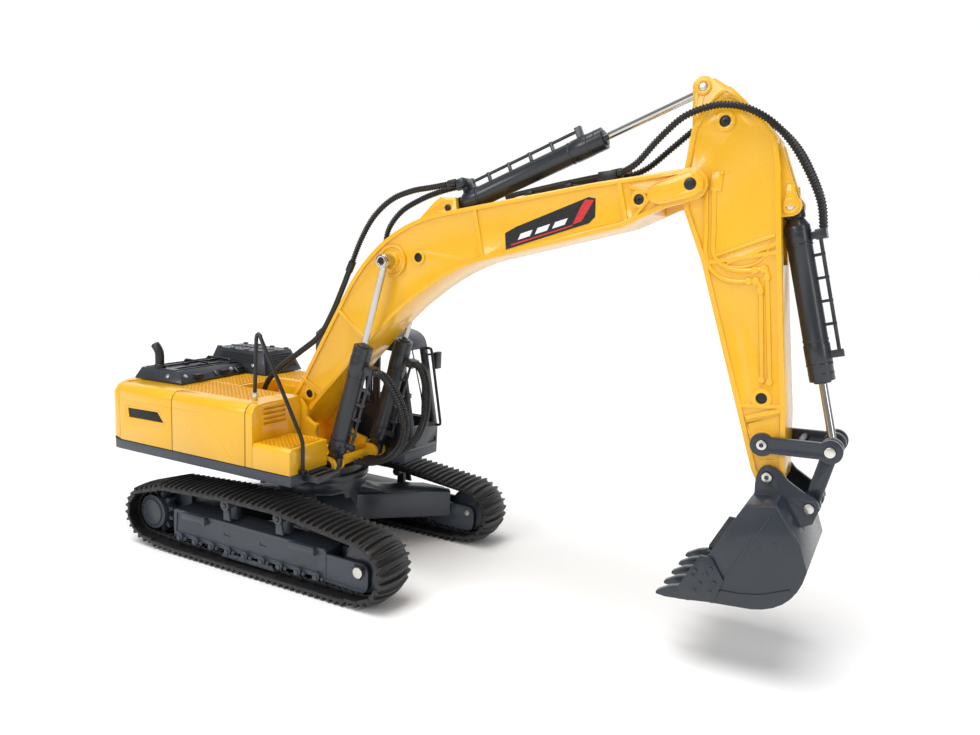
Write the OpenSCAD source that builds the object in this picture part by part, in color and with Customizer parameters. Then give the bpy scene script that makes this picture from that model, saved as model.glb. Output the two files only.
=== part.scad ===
// Tracked excavator display model: undercarriage, slewing upper body, boom, arm and bucket,
// with a hydraulic cylinder model at each working joint.
// Side views are laid out in the machine's own X and Z, measured from the slewing axis and the floor.

/* [Tracks] */
// Distance between the sprocket and idler axles
wheelbase = 106; // [104:0.5:107]
// Distance between the centre lines of the two tracks
track_gauge = 74; // [73:0.5:75]
// Width of a track shoe
shoe_w = 18; // [16:0.5:18]
// Number of shoes on each track
shoe_count = 48; // [44:1:50]

/* [Upper body] */
// Half width of the upper body
body_half_w = 38.6; // [38:0.2:39]
// Height of the deck above the floor
deck_z = 63.4; // [62.8:0.2:64]
// Radius of the counterweight's tail about the slewing axis
tail_r = 88.5; // [86:0.5:89]
// Height of the cab roof above the floor
cab_top_z = 88.6; // [88:0.2:89]

/* [Working equipment] */
// Half width of the boom over its flanges
boom_half_w = 9.4; // [9.2:0.1:9.4]
// Half width of the arm over its flanges
arm_half_w = 7.5; // [7:0.1:7.5]
// Half width of the bucket
bucket_half_w = 20.4; // [19:0.2:21]
// Sideways place of each boom cylinder
boom_cyl_y = 13.5; // [13.4:0.1:13.6]

/* [Cylinders] */
// Outside radius of the cylinder tubes
tube_r = 3.6; // [3.5:0.05:3.6]
// Radius of the wide open bore in each tube
tube_bore_r = 3.15; // [3.1:0.05:3.2]
// Radius of the piston rods
rod_r = 1.25; // [1.1:0.05:1.3]

/* [Hidden] */
$fn = 48;

// Pivot points, as [x, z]
boom_foot = [-5, 55.8];
boom_tip = [148.5, 146.9];
bucket_pivot = [178.3, 61];
boom_cyl_foot = [17.5, 39];
boom_rod_eye = [40.1, 118.9];
arm_cyl_foot = [60.7, 138.7];
arm_rod_eye = [148.7, 175.9];
bucket_cyl_foot = [176.9, 141.2];
rocker_eye = [194.9, 71.3];
rocker_r = 3.5;
rocker_pivot = [175.9, 70.6];
link_eye = [190.8, 53.5];

// The slewing axis, measured from the middle of the whole model's length
slew_x = (tail_r - rocker_eye.x - rocker_r) / 2;

// Casting screws, as [x, z]
boom_screws = [[1.3, 64.1], [51.4, 120.6], [132.5, 142.2]];
arm_screws = [[156.6, 165.3], [174.2, 84.2]];

// Lengths from foot eye to open gland
boom_tube_len = 49.3;
arm_tube_len = 60.6;
bucket_tube_len = 52.3;
// Lengths of the rods from their eye to their inner end
boom_rod_len = 57;
arm_rod_len = 84;
bucket_rod_len = 52;

pin_r = 1.2;
eye_fit = 0.05;
hub_z = 13;
sprocket_r = 7.8;
chain_t = 4.4;
shoe_t = 1.6;
grouser_h = 1;
track_y = track_gauge / 2;
carrier_z = 24.2;
carrier_x = [-11, 15.4];
carrier_r = 1.8;
roller_r = 2.2;
roller_z = 6.75;
roller_x = [for (i = [0:8]) -35.2 + 8.65 * i];
frame_in = 31.7;
frame_out = 42.3;
skirt_z = 35.5;
body_z = 39.4;
edge_r = 4;
panel_t = 1.8;
cab_in = 17.7;
cab_out = 37.4;
cab_wall = 1.7;
bumper_in = 12.7;
boom_core = boom_half_w - 0.8;
arm_core = arm_half_w - 0.7;
rocker_in = arm_half_w + 0.4;
rocker_out = rocker_in + 1.8;
ear_out = arm_half_w + 1.7;

// ---- helpers ----

// Moves the machine's own coordinates to the model's origin
module placed() {
    translate([slew_x, 0, 0])
        children();
}

// Draws the children and their mirror image in the machine's middle plane
module both() {
    children();
    mirror([0, 1, 0])
        children();
}

// Extrudes a side view, drawn as x and z, from y0 to y1
module slab(y0, y1) {
    translate([0, y1, 0])
        rotate([90, 0, 0])
            linear_extrude(y1 - y0)
                children();
}

// Extrudes a front view, drawn as y and z, from x0 to x1
module run(x0, x1) {
    translate([x0, 0, 0])
        rotate([90, 0, 90])
            linear_extrude(x1 - x0)
                children();
}

// A box given by its low and high corners
module block(low, high) {
    translate(low)
        cube(high - low);
}

// A round bar along Y at a side view point
module cross_bar(p, r, y0, y1) {
    translate([p.x, y0, p.y])
        rotate([-90, 0, 0])
            cylinder(h = y1 - y0, r = r);
}

// Puts a cylinder model's own X axis along a line from a to b in the side view
module along(a, b, y = 0) {
    translate([a.x, y, a.y])
        rotate([0, -atan2(b.y - a.y, b.x - a.x), 0])
            children();
}

function unit(v) = v / norm(v);

// An outline without its repeated points
function clean(pts) = [
    for (i = [0:len(pts) - 1])
        if (norm(pts[i] - pts[(i + 1) % len(pts)]) > 0.02)
            pts[i]
];

// Moves each side of an anticlockwise outline inward by d
function inset(outline, d) = let (pts = clean(outline), n = len(pts)) [
    for (i = [0:n - 1])
        let (
            u = unit(pts[i] - pts[(i + n - 1) % n]),
            v = unit(pts[(i + 1) % n] - pts[i]),
            m = unit([-u.y - v.y, u.x + v.x])
        )
        pts[i] + m * d / max(0.4, m * [-u.y, u.x])
];

// Points of a curve from a to b, drawn towards c
function curve(a, c, b, steps = 8) = [
    for (i = [0:steps])
        let (t = i / steps)
        a * (1 - t) * (1 - t) + c * 2 * t * (1 - t) + b * t * t
];

// Points of an arc about c
function arc(c, r, from, to, steps = 8) = [
    for (i = [0:steps])
        let (t = from + (to - from) * i / steps)
        c + r * [cos(t), sin(t)]
];

// ---- hoses ----

hose_r = 1.05;

function hose_dir(p, i) = unit(p[min(i + 1, len(p) - 1)] - p[max(i - 1, 0)]);

// Catmull-Rom points through a hand-made route, four to each stretch
function smooth(p) = [
    for (i = [0:len(p) - 2], k = [0:3])
        let (
            t = k / 4,
            a = p[max(i - 1, 0)],
            b = p[i],
            c = p[i + 1],
            d = p[min(i + 2, len(p) - 1)]
        )
        0.5 * (2 * b + (c - a) * t + (2 * a - 5 * b + 4 * c - d) * t * t + (3 * b - a - 3 * c + d) * t * t * t),
    p[len(p) - 1]
];

// A round tube along a path of points
module tube(path, r) {
    sides = 8;
    rings = len(path);
    points = [
        for (i = [0:rings - 1])
            let (
                d = hose_dir(path, i),
                u = unit(cross(d, [0.03, 1, 0.05])),
                v = cross(u, d)
            )
            for (k = [0:sides - 1])
                path[i] + r * (u * cos(360 * k / sides) + v * sin(360 * k / sides))
    ];
    walls = [
        for (i = [0:rings - 2], k = [0:sides - 1])
            [i * sides + k, i * sides + (k + 1) % sides, (i + 1) * sides + (k + 1) % sides, (i + 1) * sides + k]
    ];
    start = [for (k = [0:sides - 1]) sides - 1 - k];
    end = [for (k = [0:sides - 1]) (rings - 1) * sides + k];
    polyhedron(points, concat([start], walls, [end]));
}

// From the centre bay behind the boom foot up to the arm cylinder's ports
supply_route = [
    [-30, -3.2, 53], [-29, -3.2, 60], [-26, -3.2, 66], [-19, -3.2, 72.5], [-9, -3.2, 79.5], [1, -3.2, 87],
    [7, -3.2, 96], [12, -3.2, 106], [16.5, -3.2, 116], [21, -3.2, 126], [27, -3.2, 135], [35, -3.2, 141.4],
    [44, -3.2, 144.6], [53, -3.2, 146], [61.4, -3.2, 147.4]
];
return_route = [
    [28.7, 3.2, 120.9], [28.2, 3.2, 126], [30, 3.2, 131.6], [35.5, 3.2, 137.6], [44, 3.2, 142], [52, 3.2, 144.8],
    [61.4, 3.2, 147]
];
// From the block at the end of the boom's top lines, past the arm's top, to the bucket cylinder's port
arm_route = [
    [124.1, -5, 150.4], [130, -6.5, 153.4], [137, -8.8, 160], [144, -9.8, 166], [150, -9.9, 168.6],
    [156, -9.9, 169.6], [163, -9.8, 168.4], [170, -9.2, 164.6], [176, -7.4, 158.6], [181, -4.8, 150.6],
    [184.6, -2.6, 142.9], [185.8, -1.75, 135.9]
];
// From a boom cylinder's port in a loop to the swing frame's front, moved sideways by dy
function port_route(dy) = [
    for (p = [
        [37, 13.5, 76.95], [40, 12.9, 75.6], [43, 11.2, 71.6], [45.4, 8.8, 64.6], [45.9, 6.6, 56.6],
        [43.2, 4.9, 48.8], [37.2, 3.8, 42.4], [29.5, 3.4, 39], [20.5, 3.2, 38]
    ])
        p + [0, dy, 0]
];

// ---- undercarriage ----

// The rounds that the belt runs over, as [x, z, radius]: sprocket, rear roller, idler, carrier
// rollers and the bulge that the stiff belt makes over the sprocket
belt_wheels = [
    [-wheelbase / 2, hub_z, sprocket_r],
    [roller_x[0], roller_z, roller_z - chain_t],
    [wheelbase / 2, hub_z, hub_z - chain_t],
    [carrier_x[1], carrier_z, carrier_r],
    [carrier_x[0], carrier_z, carrier_r],
    [11 - wheelbase / 2, 18.2, 6]
];
wheel_n = len(belt_wheels);

// Angle of the outward side of the straight run that leaves wheel i
function run_angle(i) = let (
        a = belt_wheels[i],
        b = belt_wheels[(i + 1) % wheel_n],
        d = [b.x - a.x, b.y - a.y]
    )
    atan2(d.y, d.x) - acos((a.z - b.z) / norm(d));

function turn(i) = (run_angle(i) - run_angle((i + wheel_n - 1) % wheel_n) + 720) % 360;

// The belt's outline at a height above its running face
function belt_outline(h) = [
    for (i = [0:wheel_n - 1])
        let (w = belt_wheels[i], a0 = run_angle((i + wheel_n - 1) % wheel_n), steps = ceil(turn(i) / 10))
        for (k = [0:steps])
            [w.x, w.y] + (w.z + h) * [cos(a0 + turn(i) * k / steps), sin(a0 + turn(i) * k / steps)]
];

// Length of the straight run that leaves wheel i, and of the arc round it at height h
function run_len(i) = let (a = belt_wheels[i], b = belt_wheels[(i + 1) % wheel_n], r = a.z - b.z)
    sqrt(pow(b.x - a.x, 2) + pow(b.y - a.y, 2) - r * r);
function arc_len(i, h) = (belt_wheels[i].z + h) * turn(i) * PI / 180;
function belt_len(h, i = 0) = i == wheel_n ? 0 : run_len(i) + arc_len(i, h) + belt_len(h, i + 1);

// Place and angle, as [x, z, angle], of a point at distance s along the belt
function belt_place(s, h, i = 0) = let (
        w = belt_wheels[i],
        a0 = run_angle((i + wheel_n - 1) % wheel_n),
        la = arc_len(i, h)
    )
    s < la
        ? let (a = a0 + turn(i) * s / la) [w.x + (w.z + h) * cos(a), w.y + (w.z + h) * sin(a), a]
        : s < la + run_len(i)
            ? let (a = run_angle(i), t = s - la)
                [w.x + (w.z + h) * cos(a) - t * sin(a), w.y + (w.z + h) * sin(a) + t * cos(a), a]
            : belt_place(s - la - run_len(i), h, (i + 1) % wheel_n);

module track_belt() {
    color("#1b1c1e") placed() {
        plate_h = chain_t - grouser_h - shoe_t;
        pitch = belt_len(plate_h) / shoe_count;
        slab(track_y - shoe_w / 2, track_y + shoe_w / 2) {
            difference() {
                polygon(belt_outline(plate_h + shoe_t));
                polygon(belt_outline(plate_h));
            }
            for (i = [0:shoe_count - 1]) {
                p = belt_place(pitch * i, plate_h + shoe_t - 0.3);
                translate([p.x, p.y])
                    rotate(p.z)
                        translate([0, -0.45])
                            square([grouser_h + 0.3, 0.9]);
            }
        }
        for (side = [-1, 1])
            slab(track_y + side * 3.4 - 1, track_y + side * 3.4 + 1)
                difference() {
                    polygon(belt_outline(plate_h + 0.2));
                    polygon(belt_outline(0));
                }
    }
}

// Box frame of the left track, with the idler's two guard plates and the final drive's arm
module track_frame() {
    color("#4b525c") placed() {
        box = [
            [-39.4, 6.6], [37.5, 6.2], [37.5, 16.9], [34.5, 17.2], [-38.6, 17.4], [-39.4, 16.6]
        ];
        difference() {
            union() {
                slab(frame_in, frame_out)
                    polygon([[-39.4, 9.6], [37.5, 9.6], [37.5, 16.9], [34.5, 17.2], [-38.6, 17.4], [-39.4, 16.6]]);
                slab(frame_out - 1.6, frame_out)
                    polygon(box);
                slab(frame_in, frame_in + 1.6)
                    polygon(box);
            }
            slab(frame_out - 0.5, frame_out + 1)
                polygon([[-38.2, 8.2], [33.4, 7.8], [33.4, 15.8], [-37.6, 16.2]]);
            for (x = roller_x)
                cross_bar([x, roller_z], pin_r - 0.35, frame_in - 1, frame_out + 1);
        }
        guard = concat(
            [[37.5, 5.3], [52.8, 5]],
            curve([52.8, 5], [56, 5.2], [56.2, 8.6]),
            curve([56.2, 12.4], [56, 15.4], [53, 15.6]),
            [[37.5, 15.8]]
        );
        for (y = [frame_in, frame_out - 1.2])
            difference() {
                slab(y, y + 1.3)
                    polygon(guard);
                cross_bar([wheelbase / 2, hub_z], pin_r + eye_fit, y - 1, y + 3);
            }
        slab(frame_in, frame_in + 1.6)
            difference() {
                union() {
                    polygon([[-39.4, 9], [-39.4, 21.6], [-46, 21], [-53, 18.4], [-53, 7.6]]);
                    translate([-wheelbase / 2, hub_z])
                        circle(5.8);
                }
                translate([-wheelbase / 2, hub_z])
                    circle(pin_r + eye_fit);
            }
        for (x = carrier_x)
            slab(track_y - 1, track_y + 1)
                translate([x - 1.6, 16.8])
                    square([3.2, carrier_z - carrier_r - 0.4 - 16.8]);
        for (x = carrier_x)
            difference() {
                slab(track_y - 1, track_y + 1)
                    translate([x - 1.4, 21.6])
                        square([2.8, 3.6]);
                cross_bar([x, carrier_z], 0.85, track_y - 2, track_y + 2);
            }
        for (x = [-26.3, 27.6])
            difference() {
                block([x - 6, frame_out - 0.4, 15.2], [x + 6, frame_out + 2.2, 17]);
                block([x - 4.9, frame_out, 15], [x + 4.9, frame_out + 1.3, 18]);
            }
    }
}

module track_rollers() {
    color("#3f464f") placed()
        for (x = roller_x) {
            p = [x, roller_z];
            for (side = [-1, 1])
                cross_bar(p, roller_r, track_y + side * 2.5 - 1, track_y + side * 2.5 + 1);
            cross_bar(p, 1.5, track_y - 2, track_y + 2);
            cross_bar(p, 0.8, frame_in - 0.9, frame_out + 0.9);
            cross_bar(p, 1.5, frame_out + 0.05, frame_out + 1.2);
        }
}

module carrier_rollers() {
    color("#3f464f") placed() both()
        for (x = carrier_x) {
            p = [x, carrier_z];
            cross_bar(p, 0.8, track_y - 4.6, track_y + 5.4);
            for (side = [-1, 1])
                cross_bar(p, carrier_r - 0.1, track_y + side * 3 - 1.7, track_y + side * 3 + 1.7);
        }
}

module wheel_pins() {
    color("#cfd3d6") placed() both() {
        idler = [wheelbase / 2, hub_z];
        sprocket = [-wheelbase / 2, hub_z];
        cross_bar(idler, pin_r, frame_in - 0.4, frame_out + 1.6);
        cross_bar(idler, 1.9, frame_out + 0.3, frame_out + 1.7);
        cross_bar(sprocket, pin_r, frame_in - 0.4, frame_out - 2.2);
    }
}

// Toothed drive wheel with its round cover
module sprocket() {
    color("#2c3036") placed()
        difference() {
            union() {
                slab(track_y - 1.9, track_y + 1.9)
                    translate([-wheelbase / 2, hub_z]) {
                        circle(sprocket_r - 0.9);
                        for (i = [0:12])
                            rotate(360 / 13 * (i + 0.5))
                                translate([sprocket_r - 1.2, 0])
                                    polygon([[0, -1.1], [0, 1.1], [2.5, 0.45], [2.5, -0.45]]);
                    }
                cross_bar([-wheelbase / 2, hub_z], 6.6, track_y + 1.8, track_y + 3.9);
                cross_bar([-wheelbase / 2, hub_z], 5.2, track_y + 3.8, track_y + 4.4);
                cross_bar([-wheelbase / 2, hub_z], 5, track_y - 3.4, track_y - 1.8);
            }
            cross_bar([-wheelbase / 2, hub_z], pin_r + eye_fit, track_y - 5, track_y + 3.2);
        }
}

module idler() {
    color("#2c3036") placed()
        difference() {
            union() {
                cross_bar([wheelbase / 2, hub_z], 8.3, track_y - 3.7, track_y + 3.7);
                cross_bar([wheelbase / 2, hub_z], 9.8, track_y - 1.9, track_y + 1.9);
            }
            cross_bar([wheelbase / 2, hub_z], pin_r + eye_fit, track_y - 5, track_y + 5);
        }
}

// X-shaped centre frame with its ring seat
module car_body() {
    leg = [[0, -9], [20, -9], [54, -6.4], [54, 6.4], [20, 9], [0, 9]];
    legs_at = [38, 142, 218, 322];
    color("#3a4049") placed()
        difference() {
            union() {
                translate([0, 0, 11.5])
                    linear_extrude(10.5)
                        intersection() {
                            for (a = legs_at)
                                rotate(a)
                                    polygon(leg);
                            translate([-60, -frame_in])
                                square([120, frame_in * 2]);
                        }
                for (a = legs_at)
                    rotate(a)
                        slab(-5.6, 5.6)
                            polygon([[8, 21], [29.4, 21.6], [13.6, 25.2], [8, 25.2]]);
                translate([0, 0, 11.2])
                    cylinder(h = 15, r = 17.4);
                translate([0, 0, 26])
                    cylinder(h = 3.9, r = 18.8);
            }
            translate([0, 0, 8])
                cylinder(h = 25, r = 3.1);
            translate([0, 0, 8])
                cylinder(h = 10, r = 5);
        }
}

module frame_screws() {
    color("#8e949a") placed()
        for (x = [-30, 30], side = [-1, 1])
            translate([x, side * (frame_in - 2.6), 10])
                difference() {
                    cylinder(h = 1.4, r = 2);
                    translate([-1.4, -0.25, -0.1])
                        cube([2.8, 0.5, 0.7]);
                    translate([-0.25, -1.4, -0.1])
                        cube([0.5, 2.8, 0.7]);
                }
}

module slew_ring() {
    color("#26292e") placed()
        translate([0, 0, 29.95])
            difference() {
                union() {
                    cylinder(h = 2.4, r = 19.6);
                    translate([0, 0, 2.3])
                        cylinder(h = 3, r = 17);
                }
                translate([0, 0, -1])
                    cylinder(h = 8, r = 12);
            }
}

// ---- upper body ----

// Plan outline of the upper body, with a round tail and rounded rear corners
function tail_outline(d = 0) = let (
        r = tail_r - d,
        w = body_half_w - d,
        a = asin((w - 9) / r)
    )
    concat(
        [[-75, -w], [-75, w]],
        curve([-75, w], [-r * cos(a) + 0.6, w], r * [-cos(a), sin(a)], 6),
        arc([0, 0], r, 180 - a, 180 + a, 16),
        curve(r * [-cos(a), -sin(a)], [-r * cos(a) + 0.6, -w], [-75, -w], 6)
    );

module swing_frame() {
    color("#5b626b") placed()
        difference() {
            translate([0, 0, skirt_z])
                linear_extrude(body_z - skirt_z) {
                    polygon(tail_outline());
                    polygon([
                        [-75.1, -body_half_w], [18, -body_half_w], [18, -19], [13.7, -19], [13.7, cab_in],
                        [24.6, cab_in], [24.6, bumper_in], [33.2, bumper_in], [33.2, cab_out],
                        [20, body_half_w], [-75.1, body_half_w]
                    ]);
                }
            translate([0, 0, skirt_z - 1])
                cylinder(h = 10, r = 3.1);
        }
}

module swivel_pin() {
    color("#b9bec3") placed() {
        translate([0, 0, 12.4])
            cylinder(h = 28, r = 3);
        translate([0, 0, 12.4])
            cylinder(h = 5.5, r = 4.6);
        translate([0, 0, 39.45])
            cylinder(h = 1.6, r = 5);
    }
}

module counterweight() {
    color("#f2a900") placed()
        difference() {
            hull() {
                translate([0, 0, body_z])
                    linear_extrude(1)
                        polygon(tail_outline(0.6));
                translate([0, 0, body_z + 1.4])
                    linear_extrude(deck_z - body_z - 5.4)
                        polygon(tail_outline());
                translate([0, 0, deck_z - 1.2])
                    linear_extrude(0.1)
                        polygon(tail_outline(1.6));
                translate([0, 0, deck_z + 0.2])
                    linear_extrude(0.1)
                        polygon(tail_outline(4.2));
            }
            block([-75.05, -60, 30], [-60, 60, 80]);
        }
}

// End view of a side housing, with a rounded top edge
function housing_outline(d = 0) = concat(
    [[11.9, body_z], [body_half_w - d, body_z]],
    arc([body_half_w - edge_r, deck_z - edge_r], edge_r - d, 0, 90),
    [[11.9, deck_z - d]]
);

module housing(front, seams) {
    color("#f2a900") placed()
        difference() {
            run(-74.9, front)
                polygon(housing_outline());
            run(-73, front - panel_t)
                polygon([[13.7, body_z - 1], [body_half_w - panel_t, body_z - 1],
                    [body_half_w - panel_t, deck_z - edge_r], [body_half_w - edge_r, deck_z - panel_t],
                    [13.7, deck_z - panel_t]]);
            for (x = seams)
                run(x - 0.25, x + 0.25)
                    difference() {
                        translate([12, body_z - 1])
                            square([40, 40]);
                        polygon(housing_outline(0.45));
                        square([body_half_w - 6, 80]);
                    }
            slab(body_half_w - 0.7, body_half_w + 1)
                polygon([[-69.9, 53.6], [-52.2, 54], [-48.7, 50], [-69.3, 49.7]]);
            children();
        }
}

module side_housing_right() {
    mirror([0, 1, 0])
        housing(-1, [-44, -4.6]) {
            for (i = [0:4])
                block([-1.5, 20.6, 55 + 1.9 * i], [0, 32.4, 55.9 + 1.9 * i]);
        }
}

module side_housing_left() {
    housing(-19, [-44]);
}

// Step box in front of the right housing
module toolbox() {
    color("#f2a900") placed()
        difference() {
            run(-0.9, 17.4)
                polygon(concat(
                    [[-17.6, body_z], [-17.6, 49.4]],
                    curve([-37, 49.4], [-body_half_w, 49.4], [-body_half_w, 47.6], 4),
                    [[-body_half_w, body_z]]
                ));
            run(0.6, 15.9)
                polygon([[-19.2, body_z - 1], [-19.2, 47.8], [-36.9, 47.8], [-36.9, body_z - 1]]);
            for (i = [0:7])
                block([1.2 + 1.9 * i, -36.4, 49.1], [2.3 + 1.9 * i, -19.4, 50]);
        }
}

// Middle deck with the open bay for the hoses behind the boom foot
module centre_deck() {
    color("#f2a900") placed() {
        difference() {
            block([-74.9, -11.85, deck_z - 2], [-34, 11.85, deck_z]);
            for (i = [0:5])
                block([-50 + 2.6 * i, -10.5, deck_z - 0.4], [-48.8 + 2.6 * i, 10.5, deck_z + 1]);
        }
        block([-36, -11.85, body_z], [-34.2, 11.85, deck_z - 1.9]);
    }
}

module engine_hood() {
    color("#3a414b") placed()
        difference() {
            hull() {
                translate([0, 0, deck_z + 0.35])
                    linear_extrude(0.6)
                        polygon([[-78.4, -28], [-51.5, -27], [-54.5, 11.4], [-78.4, 11.4]]);
                translate([0, 0, 68])
                    linear_extrude(0.4)
                        polygon([[-77, -25.6], [-56.5, -24.4], [-59, 11.4], [-77, 11.4]]);
            }
            for (x = [-73, -64.5])
                block([x, -20, 67.7], [x + 6.4, 7, 70]);
        }
}

// Raised perforated air intake at the left rear
module hood_grille() {
    color("#3a414b") placed()
        difference() {
            hull() {
                translate([0, 0, deck_z + 0.35])
                    linear_extrude(0.6)
                        polygon([[-78.4, 11.8], [-42.5, 11.8], [-42.5, 35.6], [-78.4, 34.4]]);
                translate([0, 0, 73.2])
                    linear_extrude(0.4)
                        polygon([[-75.4, 14.6], [-46.4, 14.6], [-46.4, 32.6], [-75.4, 31.6]]);
            }
            for (i = [0:9], j = [0:5])
                block([-72.6 + 2.5 * i, 16.6 + 2.5 * j, 72.9], [-71.2 + 2.5 * i, 18 + 2.5 * j, 75]);
        }
}

module exhaust_pipe() {
    color("#26292e") placed() {
        translate([-69.6, -22.6, 68.45])
            cylinder(h = 1, r = 2.6);
        translate([-69.6, -22.6, 69.3])
            cylinder(h = 6.4, r = 1.9);
        translate([-69.6, -22.6, 75])
            rotate([0, -38, 0])
                difference() {
                    cylinder(h = 4, r = 1.9);
                    translate([0, 0, 1.6])
                        cylinder(h = 4, r = 1.4);
                }
        translate([-69.6, -22.6, 75.2])
            sphere(r = 1.9);
    }
}

// Plain round bar between two points
module bar(a, b, r) {
    d = b - a;
    translate(a)
        rotate([0, acos(d.z / norm(d)), atan2(d.y, d.x)])
            cylinder(h = norm(d), r = r);
}

rail_points = [
    [-8, -30, 63.5], [-6.2, -30.8, 84.6], [-5.8, -31, 87.2], [-4.9, -31.3, 89], [-3.6, -31.5, 89.6],
    [-2.2, -31.7, 89], [-1, -31.8, 87.2], [17.9, -33.1, 53.4], [18.7, -33.2, 51.4], [18.9, -33.2, 49],
    [18.9, -33.2, 39.6]
];

module handrail() {
    color("#17181a") placed() {
        tube(rail_points, 0.85);
        translate([-8, -30, 63.45])
            cylinder(h = 2.6, r = 1.15);
    }
}

// Two upright plates for the boom foot, joined by a floor and carrying the boom cylinders' feet
module boom_bracket() {
    plate_outline = concat(
        [[-34, body_z + 0.05], [15, body_z + 0.05], [15, 44], [8.6, 45.6]],
        curve([8.6, 45.6], [5.4, 48], [7.2, 52.6], 4),
        [[4.2, 53.2]],
        arc(boom_foot, 6.6, -6, 110, 10),
        [[-12, 61.4], [-30, 61.4], [-34, 58]]
    );
    color("#f2a900") placed() {
        both()
            difference() {
                slab(boom_half_w + 0.4, boom_half_w + 2.3)
                    polygon(plate_outline);
                cross_bar(boom_foot, 1.8 + eye_fit, boom_half_w - 1, boom_half_w + 4);
            }
        difference() {
            block([-34, -boom_half_w - 0.5, body_z + 0.05], [13.8, boom_half_w + 0.5, body_z + 1.6]);
            translate([0, 0, body_z - 1])
                cylinder(h = 4, r = 5.2);
        }
        difference() {
            union() {
                both()
                    for (y = [boom_cyl_y - 3.3, boom_cyl_y + 1.9])
                        slab(y, y + 1.4)
                            polygon(concat(
                                [[13.9, 36.4], [17.5, 36]],
                                arc(boom_cyl_foot, 3, -90, 90, 8),
                                [[13.9, 42]]
                            ));
                slab(-boom_cyl_y - 3.3, boom_cyl_y + 3.3)
                    polygon([[10.9, 39.45], [14.2, 39.45], [14.2, 42], [10.9, 42]]);
                slab(-boom_cyl_y + 2, boom_cyl_y - 2)
                    translate(boom_cyl_foot)
                        circle(1.9);
            }
            both()
                cross_bar(boom_cyl_foot, pin_r + eye_fit, boom_cyl_y - 4, boom_cyl_y + 6);
        }
    }
}

module bracket_pins() {
    color("#17181a") placed() {
        cross_bar(boom_foot, 1.8, -boom_half_w - 2.4, boom_half_w + 2.4);
        both() {
            cross_bar(boom_cyl_foot, pin_r, boom_cyl_y - 3.2, boom_cyl_y + 3.6);
            cross_bar(boom_cyl_foot, 1.9, boom_cyl_y + 3.4, boom_cyl_y + 3.9);
        }
    }
}

cab_side = concat(
    [[-18.6, body_z + 0.05], [33.4, body_z + 0.05], [33.4, 47.2], [26.6, 82.4]],
    curve([26.6, 82.4], [25.4, 88.2], [17, cab_top_z], 6),
    [[-14, cab_top_z], [-18.6, 85]]
);

// Window and door openings in the cab's side
module side_windows() {
    polygon([[15.4, 50.4], [29.6, 50.4], [23.8, 81], [15.4, 81.6]]);
    polygon([[-2.4, 58], [13, 58], [13, 81.6], [-2.4, 81.6]]);
    polygon([[-15, 58], [-4.8, 58], [-4.8, 81.6], [-15, 80]]);
}

module cab_shell() {
    color("#3a414b") placed()
        difference() {
            union() {
                slab(cab_in, cab_out)
                    polygon(cab_side);
                slab(bumper_in, cab_out)
                    polygon([[29.4, body_z + 0.05], [33.4, body_z + 0.05], [33.4, 44.4], [29.4, 44.4]]);
            }
            slab(cab_in + cab_wall, cab_out - cab_wall)
                polygon([[-16.8, 44.2], [31.8, 44.2], [31.8, 47.2], [25, 82], [22, 84.6], [15, 86.4],
                    [-13, 86.4], [-16.8, 84]]);
            slab(cab_in - 1, cab_out + 1)
                side_windows();
            run(20, 40)
                polygon([[cab_in + 2, 49.4], [cab_out - 2.6, 49.4], [cab_out - 2.6, 80.8], [cab_in + 2, 80.8]]);
            run(-30, -10)
                polygon([[cab_in + 3, 60], [cab_out - 3, 60], [cab_out - 3, 80], [cab_in + 3, 80]]);
            for (y = [bumper_in + 1.2, cab_out - 7.4])
                block([32.6, y, 40.8], [34, y + 6.2, 42.8]);
            block([29, bumper_in - 1, body_z - 1], [32.3, bumper_in + 2.2, 45]);
        }
}

module cab_seat() {
    color("#202327") placed() {
        block([-8, 23.5, 44.25], [4, 31.9, 47]);
        difference() {
            slab(22.4, 33)
                polygon([[-9.4, 46.9], [5.6, 46.9], [7, 48.6], [5.6, 50.4], [-5.2, 50.2], [-8.4, 67], [-12, 67],
                    [-11.4, 48]]);
            slab(24.2, 31.2)
                polygon([[-3.8, 49.8], [4.6, 49.8], [4.6, 52], [-3.8, 52]]);
        }
        slab(24.9, 30.5)
            polygon([[-8.8, 67.6], [-11.8, 67.6], [-12.2, 72.6], [-9.6, 72.6]]);
        block([-10.8, 26.7, 66.9], [-9.8, 28.7, 67.7]);
    }
}

// Control stand with the two lever pods beside the seat
module cab_console() {
    color("#555c65") placed() {
        for (y = [19.7, 33.4]) {
            block([-6, y, 44.25], [8, y + 2.2, 53]);
            block([6.4, y, 52.9], [9.6, y + 2.2, 54.6]);
            translate([8, y + 1.1, 54.5])
                cylinder(h = 5.2, r = 0.55);
            translate([8, y + 1.1, 60.2])
                sphere(r = 1);
        }
        slab(25, 29.6)
            polygon([[17, 44.25], [21.4, 44.25], [21.4, 56], [24.4, 61], [23, 62.4], [17.4, 58]]);
        block([20.4, 21.6, 58.6], [22.4, 33, 60.6]);
    }
}

module cab_mirror() {
    color("#17181a") placed() {
        block([29.4, 38.6, 71.7], [31, 42.6, 79]);
        block([24.4, cab_out + 0.02, 76.4], [26.4, 38.3, 78.6]);
        bar([25.4, 38.1, 77.5], [30.2, 40.4, 78.2], 0.45);
    }
}

cab_rail_points = [
    [33.45, 36.1, 48], [34.6, 36.1, 47.8], [35.4, 36.1, 48.2], [35.5, 36.1, 49.2], [30, 36.1, 79.6],
    [29.5, 36.1, 80.7], [28.6, 36.1, 81], [27.15, 36.1, 80.8]
];

module cab_rail() {
    color("#17181a") placed()
        tube(cab_rail_points, 0.6);
}

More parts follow.
